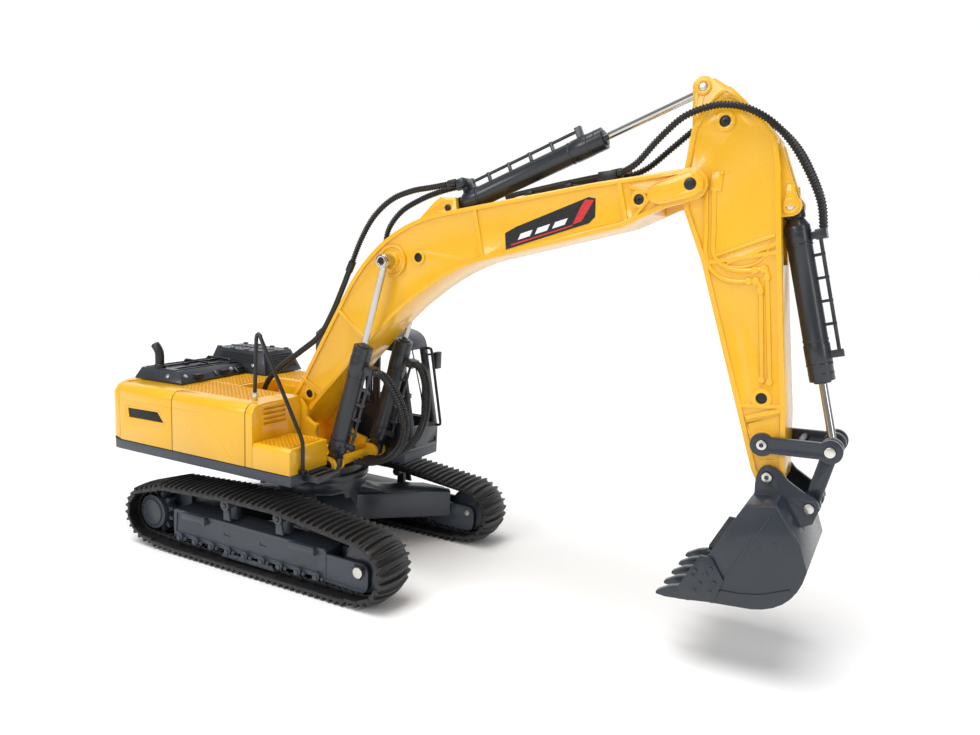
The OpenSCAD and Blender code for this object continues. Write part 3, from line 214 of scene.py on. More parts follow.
class Part:
    """One piece, gathered in millimetres at the slewing axis, that rides on a CAD body."""

    def __init__(self, name, body, material):
        self.name, self.body, self.material = name, body, material
        self.verts, self.faces = [], []

    def add(self, verts, faces):
        n = len(self.verts)
        self.verts += [tuple(v) for v in verts]
        self.faces += [tuple(n + i for i in f) for f in faces]
        return self

    def loft(self, rings, closed=True):
        """Joins rings of equal length and caps both ends."""
        n = len(rings[0])
        verts = [p for ring in rings for p in ring]
        faces = [
            (i * n + k, i * n + (k + 1) % n, (i + 1) * n + (k + 1) % n, (i + 1) * n + k)
            for i in range(len(rings) - 1)
            for k in range(n)
        ]
        if closed:
            faces += [tuple(range(n - 1, -1, -1)), tuple(range((len(rings) - 1) * n, len(rings) * n))]
        return self.add(verts, faces)

    def side(self, outline, y0, y1):
        """An outline of x and z, from y0 to y1."""
        return self.loft([[(x, y, z) for x, z in outline] for y in (y0, y1)])

    def end(self, outline, x0, x1):
        """An outline of y and z, from x0 to x1."""
        return self.loft([[(x, y, z) for y, z in outline] for x in (x0, x1)])

    def plan(self, outline, z0, z1):
        """An outline of x and y, from z0 to z1."""
        return self.loft([[(x, y, z) for x, y in outline] for z in (z0, z1)])

    def box(self, lo, hi):
        return self.plan([(lo[0], lo[1]), (hi[0], lo[1]), (hi[0], hi[1]), (lo[0], hi[1])], lo[2], hi[2])

    def tube(self, path, radius, sides=12, flat=1.0):
        """A round bar along a path; radius is a number or one for each point."""
        path = [Vector(p) for p in path]
        radii = radius if isinstance(radius, list) else [radius] * len(path)
        rings, side = [], None
        for i, p in enumerate(path):
            d = (path[min(i + 1, len(path) - 1)] - path[max(i - 1, 0)]).normalized()
            if side is None:
                side = d.cross(Vector((0.13, 1, 0.21))).normalized()
            side = (side - d * side.dot(d)).normalized()
            other = d.cross(side)
            rings.append(
                [
                    p + radii[i] * (side * math.cos(a) + other * math.sin(a) * flat)
                    for a in (2 * math.pi * k / sides for k in range(sides))
                ]
            )
        return self.loft(rings)

    def rod(self, a, b, radius, sides=20, end_radius=None):
        """A straight bar, or a cone with end_radius."""
        return self.tube([a, b], [radius, radius if end_radius is None else end_radius], sides)

    def disc(self, p, radius, y0, y1, sides=24, end_radius=None):
        """A bar along Y at a side-view point."""
        return self.rod((p[0], y0, p[1]), (p[0], y1, p[1]), radius, sides, end_radius)

    def washer(self, p, inner, outer, y0, y1, sides=28):
        """A flat ring along Y at a side-view point."""
        loops = [
            [
                (p[0] + r * math.cos(a), y, p[1] + r * math.sin(a))
                for a in (2 * math.pi * k / sides for k in range(sides))
            ]
            for r, y in ((inner, y0), (outer, y0), (outer, y1), (inner, y1), (inner, y0))
        ]
        return self.loft(loops, closed=False)

    def bead(self, points, y, width, height, closed=False):
        """A raised line on a side face at y, height proud of it."""
        line = [Vector((x, z)) for x, z in points]
        if closed:
            line.append(line[0])
        rings = []
        for k, p in enumerate(line):
            a = line[k - 1] if k else (line[-2] if closed else p)
            b = line[k + 1] if k < len(line) - 1 else (line[1] if closed else p)
            d1 = (p - a).normalized() if (p - a).length > 0 else (b - p).normalized()
            d2 = (b - p).normalized() if (b - p).length > 0 else d1
            m = (Vector((-d1.y, d1.x)) + Vector((-d2.y, d2.x))).normalized()
            m *= width / 2 / max(0.45, m.dot(Vector((-d1.y, d1.x))))
            lo, hi = p - m, p + m
            top = y + height
            rings.append([(lo.x, y, lo.y), (lo.x, top, lo.y), (hi.x, top, hi.y), (hi.x, y, hi.y)])
        return self.loft(rings)

    def both(self):
        """Adds the mirror image in the machine's middle plane."""
        return self.add([(x, -y, z) for x, y, z in self.verts], [tuple(reversed(f)) for f in self.faces])

    def flipped(self):
        """The mirror image alone."""
        self.verts = [(x, -y, z) for x, y, z in self.verts]
        self.faces = [tuple(reversed(f)) for f in self.faces]
        return self

    def make(self, width=0.0, replaces=(), ride=True):
        mesh = bpy.data.meshes.new(self.name)
        mesh.from_pydata([at(*v) for v in self.verts], [], self.faces)
        work = bmesh.new()
        work.from_mesh(mesh)
        bmesh.ops.remove_doubles(work, verts=work.verts, dist=1e-7)
        bmesh.ops.recalc_face_normals(work, faces=work.faces)
        work.to_mesh(mesh)
        work.free()
        obj = bpy.data.objects.new(self.name, mesh)
        bpy.context.scene.collection.objects.link(obj)
        mesh.materials.append(self.material)
        soften(obj, width)
        if ride:
            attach(obj, self.body)
        if replaces:
            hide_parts(*replaces)
        return obj


def smooth_path(points, step=0.25):
    """Points every step millimetres along a smooth curve through the given ones."""
    p = [Vector(q) for q in points]
    fine = []
    for i in range(len(p) - 1):
        a, b, c, d = p[max(i - 1, 0)], p[i], p[i + 1], p[min(i + 2, len(p) - 1)]
        for k in range(40):
            t = k / 40
            square, cube = 2 * a - 5 * b + 4 * c - d, 3 * b - a - 3 * c + d
            fine.append(0.5 * (2 * b + (c - a) * t + square * t * t + cube * t**3))
    fine.append(p[-1])
    out, walked = [fine[0]], 0.0
    for a, b in zip(fine, fine[1:]):
        length = (b - a).length
        while walked + length >= step:
            a = a + (b - a) * ((step - walked) / length)
            length = (b - a).length
            out.append(a)
            walked = 0.0
        walked += length
    out.append(fine[-1])
    return out


def corrugated(part, points, low=0.86, high=1.12, pitch=1.0, sides=12):
    """A ribbed hose: four rings to each rib."""
    path = smooth_path(points, pitch / 4)
    wave = [low, high, high, low]
    return part.tube(path, [wave[i % 4] for i in range(len(path))], sides)


# ---- tracks: shoes with two ridges each, on a chain of links ----

WHEELS = [
    (*SPROCKET, 7.8), (-35.2, 6.75, 2.35), (*IDLER, 8.6),
    *((*carrier, 1.8) for carrier in CARRIERS), (-42, 18.2, 6),
]
SHOES = 48
TRACK_Y = 37


def belt_points(height, count):
    """Evenly spaced places along the belt at a height over its running face, as x, z, angle."""
    runs = []
    for i in range(len(WHEELS)):
        (ax, az, ar), (bx, bz, br) = WHEELS[i], WHEELS[(i + 1) % len(WHEELS)]
        d = math.hypot(bx - ax, bz - az)
        angle = math.atan2(bz - az, bx - ax) - math.acos((ar - br) / d)
        runs.append((angle, math.sqrt(d * d - (ar - br) ** 2)))
    pieces = []
    for i in range(len(WHEELS)):
        x, z, r = WHEELS[i]
        r += height
        a0 = runs[i - 1][0]
        turn = (runs[i][0] - a0) % (2 * math.pi)
        pieces.append((x, z, r, a0, turn, runs[i][1]))
    total = sum(r * turn + run for _, _, r, _, turn, run in pieces)
    out = []
    for k in range(count):
        s = total * k / count
        for x, z, r, a0, turn, run in pieces:
            if s < r * turn:
                a = a0 + s / r
                out.append((x + r * math.cos(a), z + r * math.sin(a), a))
                break
            s -= r * turn
            if s < run:
                a = a0 + turn
                out.append(
                    (x + r * math.cos(a) - s * math.sin(a), z + r * math.sin(a) + s * math.cos(a), a)
                )
                break
            s -= run
    return out


SHOE = [
    (-3.0, 0.0), (3.0, 0.0), (3.05, 1.0), (2.2, 1.2), (1.95, 2.35), (1.72, 2.5), (1.3, 2.5), (1.1, 2.35),
    (0.82, 1.2), (-0.72, 1.2), (-1.0, 2.35), (-1.22, 2.5), (-1.64, 2.5), (-1.86, 2.35), (-2.1, 1.2),
    (-3.05, 1.1),
]
LINK = [
    (-2.5, 1.8), (-3.0, 1.1), (-2.8, 0.3), (-2.2, 0.0), (-0.9, 0.0), (-0.4, 0.4),
    (0.4, 0.4), (0.9, 0.0), (2.2, 0.0), (2.8, 0.3), (3.0, 1.1), (2.5, 1.8),
]


def placed_outline(outline, place, lift):
    x, z, a = place
    c, s = math.cos(a), math.sin(a)
    return [(x + (h + lift) * c - t * s, z + (h + lift) * s + t * c) for t, h in outline]


def crown(place):
    """How far a shoe's ends droop: the soft belt bulges where it bends, and lies flat on the floor."""
    x, z, a = place
    if z < 8 and abs(x) < 50:
        return 0.0
    return 1.5 if abs(math.cos(a)) > 0.3 else 0.8


for name, sign in (("right", -1), ("left", 1)):
    shoes = Part("shoes_" + name, "undercarriage", TRACK)
    links = Part("chain_links_" + name, "undercarriage", TRACK)
    for place in belt_points(1.8, SHOES):
        droop = crown(place)
        shoes.loft(
            [
                [(x, TRACK_Y + w * 9, z) for x, z in placed_outline(SHOE, place, -droop * w * w)]
                for w in (-1, -0.75, -0.5, -0.25, 0, 0.25, 0.5, 0.75, 1)
            ]
        )
        for offset in (-3.4, 3.4):
            links.side(placed_outline(LINK, place, -1.8), TRACK_Y + offset - 0.95, TRACK_Y + offset + 0.95)
        (px, pz) = placed_outline([(2.95, 0.9)], place, -1.8)[0]
        links.disc((px, pz), 0.5, TRACK_Y - 4.75, TRACK_Y + 4.75, 10)
    if sign < 0:
        shoes.flipped()
        links.flipped()
    shoes.make(0.16, replaces=["track_belt_" + name])
    links.make(0.12)

# ---- track frames: raised edges, marks, roller bolts, guards and idler slot ----

ROLLER_X = [-35.2 + 8.65 * i for i in range(9)]
trim = Part("track_frame_trim", "undercarriage", SLATE)
marks = Part("track_frame_marks", "undercarriage", SEAM)
for x in (-12.6, 6.0):
    marks.box((x, 41.7, 11.8), (x + 0.45, 41.86, 13.0))
    marks.box((x, 41.7, 11.8), (x + 3.4, 41.86, 12.2))
for x in ROLLER_X:
    trim.disc((x - 0.2, 6.4), 1.0, 43.4, 43.95, 20)
    trim.disc((x + 2.5, 6.1), 0.75, 42.2, 43.1, 16)
    trim.disc((x + 2.5, 6.1), 0.4, 43.0, 43.4, 12)
trim.side([(-13, 3.6), (14, 3.6), (12.6, 5.4), (-11.6, 5.4)], 42.1, 42.9)
for x in (-10, -5.2, 0.2, 5.6, 10.4):
    trim.bead([(x - 1.1, 3.7), (x + 1.1, 5.3)], 42.8, 0.5, 0.3)
trim.bead([(38, 6.2), (54.6, 5.6)], 42.35, 0.5, 0.25)
trim.bead([(37.6, 5.4), (37.6, 17.0)], 42.3, 0.7, 0.35)
trim.box((33.6, 41.9, 16.0), (37.4, 42.8, 17.6))
for x in (-26.3, 27.6):
    trim.box((x - 6, 43.6, 16.8), (x + 6, 44.4, 17.6))
    trim.box((x + 5.0, 42.0, 14.6), (x + 6.2, 44.4, 17.0))
marks.side([(50.2, 15.2), (56.0, 15.2), (53.0, 9.6)], 42.38, 42.5)
trim.both()
marks.both()
trim.make(0.14)
marks.make(0)

pins = Part("idler_pin_heads", "undercarriage", STEEL)
pins.disc(IDLER, 2.0, 43.7, 44.3, 28)
pins.both()
pins.make(0.2)

for name, sign in (("right", -1), ("left", 1)):
    bolts = Part("sprocket_bolts_" + name, name + "_sprocket", SLATE)
    for k in range(20):
        a = 2 * math.pi * k / 20
        bolts.disc((SPROCKET[0] + 5.9 * math.cos(a), SPROCKET[1] + 5.9 * math.sin(a)), 0.42, 40.7, 41.25, 8)
    bolts.washer(SPROCKET, 4.4, 5.0, 41.3, 41.6)
    bolts.washer(SPROCKET, 6.4, 6.9, 38.9, 41.15)
    if sign < 0:
        bolts.flipped()
    bolts.make(0.08)

caps = Part("carrier_roller_caps", "undercarriage", SLATE)
for x in (-11, 15.4):
    caps.washer((x, 24.2), 1.0, 2.1, 41.9, 43.0)
    caps.disc((x, 24.2), 0.75, 42.2, 43.3, 14)
    caps.side([(x - 1.4, 18.2), (x + 2.2, 18.2), (x + 1.3, 22.6), (x - 1.3, 22.6)], 41.2, 42.2)
caps.both()
caps.make(0.12)

# ---- upper body ----

TAIL_R = 88.5
HALF_W = 38.6
DECK = 63.4


def tail(r, w):
    a = math.asin((w - 9) / r)
    pts = [(-75, w)]
    start, ctrl, stop = (-75, w), (-r * math.cos(a) + 0.6, w), (-r * math.cos(a), r * math.sin(a))
    for i in range(1, 7):
        t = i / 6
        pts.append(
            (
                start[0] * (1 - t) ** 2 + ctrl[0] * 2 * t * (1 - t) + stop[0] * t * t,
                start[1] * (1 - t) ** 2 + ctrl[1] * 2 * t * (1 - t) + stop[1] * t * t,
            )
        )
    for i in range(1, 24):
        b = math.pi - a + 2 * a * i / 24
        pts.append((r * math.cos(b), r * math.sin(b)))
    pts += [(x, -y) for x, y in reversed(pts[:7])]
    return pts


# Painted shadow: a black strip round the housing's foot stands in for the shade in the gap between housing and
# skirt.
skirt_shadow_strip = Part("skirt_painted_shadow", "upper_body", SEAM)
skirt_shadow_strip.plan([(-74.9, -38.66), (17.3, -38.66), (17.3, -19), (-74.9, -19)], 39.2, 39.62)
skirt_shadow_strip.plan([(-74.9, 19), (20, 19), (20, 38.66), (-74.9, 38.66)], 39.2, 39.62)
round_tail = [(x * 1.0007, y * 1.001) for x, y in tail(TAIL_R, HALF_W)[1:-1]]
skirt_shadow_strip.plan([(-70, 20), (-75, 38.66)] + round_tail + [(-75, -38.66), (-70, -20)], 39.2, 39.7)
skirt_shadow_strip.make(0)


def housing_band(low, high):
    """End-view band just under a housing's skin: down its side, over its rounded edge and along its top."""
    outer = [(HALF_W - low, 39.5)] + [
        (HALF_W - 4 + (4 - low) * math.cos(b), DECK - 4 + (4 - low) * math.sin(b))
        for b in (math.pi / 2 * i / 8 for i in range(9))
    ] + [(12, DECK - low)]
    inner = [(12, DECK - high)] + [
        (HALF_W - 4 + (4 - high) * math.cos(b), DECK - 4 + (4 - high) * math.sin(b))
        for b in (math.pi / 2 * i / 8 for i in range(8, -1, -1))
    ] + [(HALF_W - high, 39.5)]
    return outer, inner


seams = Part("panel_seams", "upper_body", SEAM)
outer, inner = housing_band(0.3, 0.55)
inner = list(reversed(inner))


def seam(x, sign):
    loops = []
    for x2 in (x - 0.22, x + 0.22):
        loops.append([(x2, sign * y, z) for y, z in outer])
        loops.append([(x2, sign * y, z) for y, z in inner])
    n = len(outer)
    verts = [p for loop in loops for p in loop]
    faces = []
    for i in range(n - 1):
        faces.append((i, i + 1, 2 * n + i + 1, 2 * n + i))
        faces.append((n + i, 3 * n + i, 3 * n + i + 1, n + i + 1))
        faces.append((i, n + i, n + i + 1, i + 1))
        faces.append((2 * n + i, 2 * n + i + 1, 3 * n + i + 1, 3 * n + i))
    faces.append((0, 2 * n, 3 * n, n))
    faces.append((n - 1, 2 * n - 1, 4 * n - 1, 3 * n - 1))
    seams.add(verts, faces)


for x in (-44, -4.6):
    seam(x, -1)
seam(-44, 1)
for sign in (-1, 1):
    seam(-74.98, sign)
seams.make(0)

slats = Part("side_grilles", "upper_body", BLACK)
for k in range(6):
    z = 50.25 + 0.6 * k
    slats.box((-69.4 - 0.06 * k, 38.2, z), (-49.6 - 0.52 * k, 38.45, z + 0.3))
slats.side([(-69.3, 49.8), (-48.9, 50.1), (-52.3, 53.9), (-69.85, 53.5)], 37.8, 38.25)
slats.both()
slats.make(0.05)

lips = Part("side_grille_lips", "upper_body", YELLOW)
lips.bead([(-71.1, 49.3), (-47.7, 49.5), (-51.4, 54.6), (-71.6, 54.3)], 38.5, 0.4, 0.22, closed=True)
lips.bead([(-74.4, 56.2), (-44.5, 56.9)], 38.5, 0.5, 0.2)
lips.bead([(-43.5, 56.9), (-27.5, 57.1), (-11.8, 41.3)], 38.5, 0.5, 0.2)
lips.both()
lips.make(0.09)


def tread(part, x0, x1, y0, y1, z, dx=1.05, dy=1.9):
    """Short anti-slip bars in staggered rows."""
    nx, ny = int((x1 - x0) / dx), int((y1 - y0) / dy)
    for i in range(nx):
        for j in range(ny):
            x = x0 + dx * (i + 0.5)
            y = y0 + dy * (j + (0.5 if i % 2 else 0.1))
            part.box((x - 0.24, y, z - 0.1), (x + 0.24, y + dy * 0.72, z + 0.2))


treads = Part("deck_treads", "upper_body", YELLOW)
tread(treads, -49, -9.4, -31.6, -12.4, DECK)
tread(treads, -51, -35.4, -11, 11, DECK)
tread(treads, 0.4, 16, -36.6, -18.6, 49.4)
tread(treads, -41, -20.5, 14, 33, DECK)
treads.make(0.06)

# Hood: bars in an H, latches, bolts and ridge lines
hood = Part("hood_fittings", "upper_body", BLACK)
hood.tube([(-76.4, -3.4, 68.6), (-75.6, -3.4, 69.3), (-61.6, -3.4, 69.3), (-60.6, -3.4, 68.6)], 0.55, 10)
hood.tube([(-76.4, 9.6, 68.6), (-75.6, 9.6, 69.3), (-62.6, 9.6, 69.3), (-61.6, 9.6, 68.6)], 0.55, 10)
hood.rod((-69, -9.6, 69), (-69, 9.8, 69), 0.5, 10)
for y in (-16.5, -1.0, 8.6):
    hood.box((-57.2, y - 1.9, 65.0), (-53.2 - 0.07 * y, y + 1.9, 66.8))
for y in (-9.6, 3):
    hood.box((-70.4, y - 0.8, 68.3), (-67.6, y + 0.8, 69.3))
hood.make(0.12)
lines = Part("hood_ridges", "upper_body", NAVY)
lines.box((-76, -24.4, 68.35), (-58.2, -23.6, 68.75))
lines.box((-76, -23.8, 68.35), (-75.2, 10.8, 68.75))
lines.box((-59.2, -23.8, 68.35), (-58.4, 10.8, 68.75))
for y in (-18, -6, 6):
    lines.rod((-55.2, y, 66.6), (-53.2, y, 65.0), 0.5, 10)
for i in range(9):
    lines.box((-74.6, 11.7, 64.6 + i * 0.42), (-60, 11.8, 64.8 + i * 0.42))
lines.make(0.1)
bolt = Part("hood_bolts", "upper_body", STEEL)
for c, n in (
    ((-56.0, 4.4, 66.2), (0.68, 0, 0.73)),
    ((-54.6, -22.4, 66.2), (0.68, 0, 0.73)),
    ((-60.0, -26.6, 66.2), (0, -0.86, 0.5)),
    ((-50.6, 12.5, 67.2), (0, -0.96, 0.27)),
):
    c, n = Vector(c), Vector(n)
    bolt.rod(c - n * 0.6, c + n * 0.5, 0.9, 16)
bolt.make(0.15)

# Air intake: mesh panels on its slopes and bosses on its top
mesh = Part("intake_mesh", "upper_body", NAVY)
back_panel = Part("intake_dark", "upper_body", SEAM)


def panel(a, b, c, d, nu, nv, wire=0.16):
    """Crossed wires over a dark plate between four corners, a to b along the bottom."""
    a, b, c, d = (Vector(p) for p in (a, b, c, d))
    n = (b - a).cross(d - a).normalized()
    for i in range(nu + 1):
        t = i / nu
        mesh.rod(a.lerp(b, t) + n * 0.12, d.lerp(c, t) + n * 0.12, wire, 6)
    for j in range(nv + 1):
        t = j / nv
        mesh.rod(a.lerp(d, t) + n * 0.22, b.lerp(c, t) + n * 0.22, wire, 6)
    back_panel.loft([[p + n * 0.04 for p in (a, b, c, d)], [p + n * 0.1 for p in (a, b, c, d)]])


panel((-72, 12.2, 65.0), (-48, 12.2, 65.0), (-49.8, 14.1, 72.0), (-71.4, 14.1, 72.0), 24, 7)
panel((-42.9, 14.4, 65.0), (-42.9, 33.6, 65.0), (-45.7, 31.4, 72.0), (-45.7, 16, 72.0), 18, 7)
for x in (-74.4, -66, -57.4, -48.6):
    for y in (15.2, 32):
        mesh.box((x - 0.9, y - 0.7, 73.3), (x + 0.9, y + 0.7, 74.1))
mesh.box((-75, 23.2, 73.3), (-46.8, 24.0, 73.9))
mesh.make(0)
back_panel.make(0)

exhaust = Part("exhaust_elbow", "upper_body", BLACK)
exhaust.rod((-69.6, -22.6, 68.3), (-69.6, -22.6, 69.6), 2.6, 24)
exhaust.rod((-69.6, -22.6, 69.5), (-69.6, -22.6, 70.2), 2.3, 24, 1.9)
exhaust.tube([(-69.6, -22.6, 69.6), (-69.6, -22.6, 74), (-69.75, -22.6, 74.9), (-70.15, -22.6, 75.8),
              (-70.75, -22.6, 76.6), (-71.4, -22.6, 77.3), (-72.2, -22.6, 78.1)], 1.85, 24)
exhaust.make(0.15, replaces=["exhaust_pipe"])
bore = Part("exhaust_bore", "upper_body", SEAM)
bore.rod((-72.15, -22.6, 78.05), (-72.24, -22.6, 78.14), 1.45, 24)
bore.make(0)

# Louvre slats on the right housing's front wall
louvre = Part("front_louvres", "upper_body", YELLOW)
for k in range(5):
    z = 55.2 + 1.9 * k
    y0, y1 = -20.2 - 0.28 * k, -32.2 - 0.28 * k
    louvre.end([(y0, z - 0.45), (y0, z), (y1, z), (y1, z - 0.45)], -1.2, -0.35)
louvre.make(0.12)

# Handrail in bent round bar, with its clamp and foot
rail = Part("handrail_bar", "upper_body", BLACK)
legs = [(-8, -30, 63.5), (-6.4, -30.8, 84.6), (-6.1, -31, 87.4), (-5.5, -31.2, 89), (-4.6, -31.4, 89.5),
        (-3.7, -31.5, 89), (-2.9, -31.7, 87.6), (17.9, -33.1, 53.4), (18.7, -33.2, 51.4), (18.9, -33.2, 49),
        (18.9, -33.2, 39.6)]
rail.tube(legs, 0.74, 16)
rail.box((17.6, -34.1, 39.5), (20.2, -32.3, 41.2))
rail.make(0.08, replaces=["handrail"])
foot = Part("handrail_foot", "upper_body", STEEL)
foot.rod((-8, -30, 63.42), (-7.75, -30.1, 66.6), 1.1, 18)
foot.make(0.15)

# Cab: gaskets, door line, handle, roof ridges and wiper
CAB_IN, CAB_OUT = 17.7, 37.4
cab = Part("cab_trim", "upper_body", BLACK)
for side_y, depth in ((CAB_OUT, 0.14), (CAB_IN - 0.14, 0.14)):
    for window in (
        [(15.4, 50.4), (29.6, 50.4), (23.8, 81), (15.4, 81.6)],
        [(-2.4, 58), (13, 58), (13, 81.6), (-2.4, 81.6)],
        [(-15, 58), (-4.8, 58), (-4.8, 81.6), (-15, 80)],
    ):
        cab.bead(window, side_y, 0.7, depth, closed=True)
door = [(14.2, 41.6), (14.2, 84.4), (-3.6, 84.4), (-3.6, 46.4), (1.4, 41.6)]
cab.bead(door, CAB_OUT, 0.3, 0.1, closed=True)
cab.box((10.4, 37.3, 60), (13.2, 38.1, 60.9))
cab.tube([(27.4, 24, 83.2), (31.2, 26.5, 63), (32.6, 27, 54)], 0.28, 8)
cab.box((31.8, 26.2, 52.4), (32.3, 27.8, 66))
cab.make(0.06)
shell = Part("cab_roof_ridges", "upper_body", NAVY)
for y in (20.6, 34.2):
    shell.box((-12, y - 0.5, 88.4), (15.5, y + 0.5, 89.1))
shell.box((-6, 22.6, 88.4), (10, 32.4, 88.95))
shell.plan([(30.2, 15.6), (33.2, 15.6), (33.2, 17.2), (30.2, 17.2)], 44.3, 44.5)
shell.make(0.2)

rail2 = Part("cab_rail_bar", "upper_body", BLACK)
rail2.tube([(33.45, 36.1, 48), (34.6, 36.1, 47.8), (35.4, 36.1, 48.2), (35.5, 36.1, 49.2), (30, 36.1, 79.6),
            (29.5, 36.1, 80.7), (28.6, 36.1, 81), (27.15, 36.1, 80.8)], 0.6, 14)
rail2.make(0, replaces=["cab_rail"])

# ---- boom ----

boom_trim = Part("boom_beads", "boom", YELLOW)
boom_trim.washer(BOOM_CYLINDER_EYE, 4.9, 5.9, 9.3, 9.75, 40)
boom_trim.disc(BOOM_CYLINDER_EYE, 3.4, 9.3, 10.6, 32, 3.1)
boom_trim.bead([(-2.6, 70.6), (8.4, 65.4), (2.2, 57.9)], 9.2, 0.7, 0.45)
boom_trim.washer((132.5, 142.2), 1.75, 2.5, 8.6, 9.0, 32)
tip = [
    (138.2, 147.0), (148.2, 150.6), (152.1, 148.4), (152.2, 145.2), (149.4, 143.3), (139.4, 140.9),
    (135.7, 142.4), (135.9, 145.4),
]
boom_trim.bead(tip, 10.5, 0.5, 0.3, closed=True)
boom_trim.both()
boom_trim.make(0.22)

decal = Part("boom_decal", "boom", DECAL)
decal.side([(86.6, 124.9), (116.2, 134.5), (118.2, 136.6), (118.0, 142.4), (115.6, 142.8), (90.0, 132.6),
            (86.0, 130.4)], 8.55, 8.72)
decal.both()
decal.make(0)
red = Part("boom_decal_red", "boom", RED)
red.side([(110.6, 134.0), (113.6, 135.0), (117.6, 141.9), (114.6, 142.0), (113.2, 139.9)], 8.7, 8.76)
red.side([(88.4, 126.2), (110.6, 133.4), (110.8, 133.9), (88.6, 126.8)], 8.7, 8.76)
red.both()
red.make(0)
white = Part("boom_decal_bars", "boom", WHITE)
for k in range(3):
    x = 91 + 6.2 * k
    z = 128.3 + 2.05 * k
    white.side([(x, z), (x + 4.4, z + 1.45), (x + 5.4, z + 3.6), (x + 1.0, z + 2.15)], 8.7, 8.76)
white.both()
white.make(0)


def plug(part, metal, p, y, r=1.6):
    """A black cross-slot screw sunk in its hole."""
    part.washer(p, r * 0.86, r, y, y + 0.25, 24)
    metal.box((p[0] - r * 0.55, y, p[1] - 0.17), (p[0] + r * 0.55, y + 0.12, p[1] + 0.17))
    metal.box((p[0] - 0.17, y, p[1] - r * 0.55), (p[0] + 0.17, y + 0.12, p[1] + r * 0.55))


for body, spots, y in (
    ("boom", [(1.3, 64.1), (51.4, 120.6), (132.5, 142.2)], 8.86),
    ("arm", [(156.6, 165.3), (174.2, 84.2)], 7.06),
):
    rims = Part(body + "_screw_rims", body, BLACK)
    slots = Part(body + "_screw_slots", body, SEAM)
    for p in spots:
        plug(rims, slots, p, y)
    rims.both().make(0.05)
    slots.both().make(0)

sockets = Part("boom_pin_sockets", "boom", SEAM)
sockets.disc(ARM_PIVOT, 1.0, 10.85, 10.96, 6)
sockets.disc(BOOM_CYLINDER_EYE, 1.25, 16.45, 16.6, 20)
sockets.both().make(0)
rings = Part("boom_pin_rings", "boom", CHROME)
rings.washer(BOOM_CYLINDER_EYE, 1.3, 2.3, 15.75, 16.55, 32)
rings.both().make(0.12)

lugs = Part("bracket_beads", "upper_body", YELLOW)
lugs.disc(BOOM_CYLINDER_FOOT, 2.0, 16.95, 17.25, 24)
lugs.both().make(0.1)

# ---- arm ----

pipes = Part("arm_pipes", "arm", YELLOW)
FRONT_BEND = [
    (154.8, 146), (155.8, 133.8), (156.1, 127.8), (157.5, 124.6), (160.6, 122.5), (164.7, 121.8), (170.6, 122.5),
]
FRONT_RUN = [(172.0, 122.6), (172.4, 121), (174.3, 105), (176.0, 89.4)]
REAR_BEND = [
    (152.6, 145), (153.5, 133.7), (153.9, 126.6), (155.6, 122.2), (159.1, 119.4), (163.2, 118.5), (168.4, 118.9),
]
REAR_RUN = [(169.8, 118.9), (170.9, 117.4), (172.2, 105), (173.7, 89.8)]
for path in (FRONT_BEND, REAR_BEND):
    pipes.tube([(p.x, 6.8, p.z) for p in smooth_path([(x, 0, z) for x, z in path], 1.0)], 0.78, 12)
for path in (FRONT_RUN, REAR_RUN):
    pipes.tube([(x, 6.8, z) for x, z in path], 0.78, 12)
for x, z, r in ((171.5, 122.6, 1.15), (169.4, 119, 1.15), (167.4, 118.8, 1.05), (168.9, 122.2, 1.05),
                (171.0, 116.2, 1.05), (172.5, 120.2, 1.0), (173.7, 89.8, 1.0), (176, 89.4, 1.0)):
    pipes.disc((x, z), r, 6.7, 7.62, 16)
pipes.side([(153.6, 145), (157.2, 145), (157.4, 150.8), (154.0, 150.8)], 6.7, 7.3)
for x, z in ((154.4, 150.4), (157, 150.4), (154.4, 145.6)):
    pipes.disc((x, z), 0.5, 6.8, 7.6, 10)
pipes.tube([(156.7, 6.9, 125.9), (173.8, 6.9, 132.6)], 0.62, 10)
BRANCH = [(157.8, 124.7), (161.9, 122.9), (167.2, 123.4), (171, 126.1), (172.7, 130.6)]
pipes.tube(smooth_path([(x, 6.85, z) for x, z in BRANCH], 0.8), 0.5, 10)
pipes.bead([(170.0, 77.6), (180.4, 81.4)], 6.7, 1.5, 0.75)
lower_end = [(170.6, 76.0), (179.5, 79.4), (180.9, 66.0), (174.8, 65.2), (172.8, 70.4)]
pipes.bead(lower_end, 6.7, 0.5, 0.3, closed=True)
pipes.disc(ROCKER_PIVOT, 3.9, 7.3, 7.62, 32)
crest = [
    (150.6, 170.4), (153.8, 174.2), (159.4, 173.4), (164, 168.6), (160.6, 170.6), (156.8, 172.2), (153.2, 170.4),
]
pipes.side(crest, 6.7, 7.1)
pipes.both()
pipes.make(0.16)

hub = Part("arm_bosses", "arm", YELLOW)
hub.washer(ARM_CYLINDER_EYE, 1.3, 2.6, 4.85, 5.3, 28)
hub.washer(BUCKET_CYLINDER_FOOT, 1.3, 2.4, 5.1, 5.7, 28)
hub.side([(175, 141), (178.6, 141), (177.6, 147.4), (175.4, 147.4)], 5.1, 5.6)
hub.both()
hub.make(0.25)

heads = Part("arm_pin_heads", "arm", STEEL)
heads.disc(ROCKER_PIVOT, 1.5, 9.95, 10.35, 24)
heads.disc(BUCKET_PIVOT, 1.5, 9.95, 10.35, 24)
heads.both().make(0.12)
hexes = Part("arm_pin_sockets", "arm", DARK)
for p in (ROCKER_PIVOT, BUCKET_PIVOT):
    hexes.disc(p, 0.75, 10.33, 10.4, 6)
hexes.both().make(0)
eye = Part("rocker_pin_heads", "rocker", STEEL)
eye.disc(ROCKER_EYE, 1.55, 10.05, 10.4, 24)
eye.both().make(0.12)
low = Part("link_pin_heads", "bucket", STEEL)
low.disc(LINK_PIN, 1.5, 9.45, 9.85, 24)
low.both().make(0.12)

# ---- bucket ----

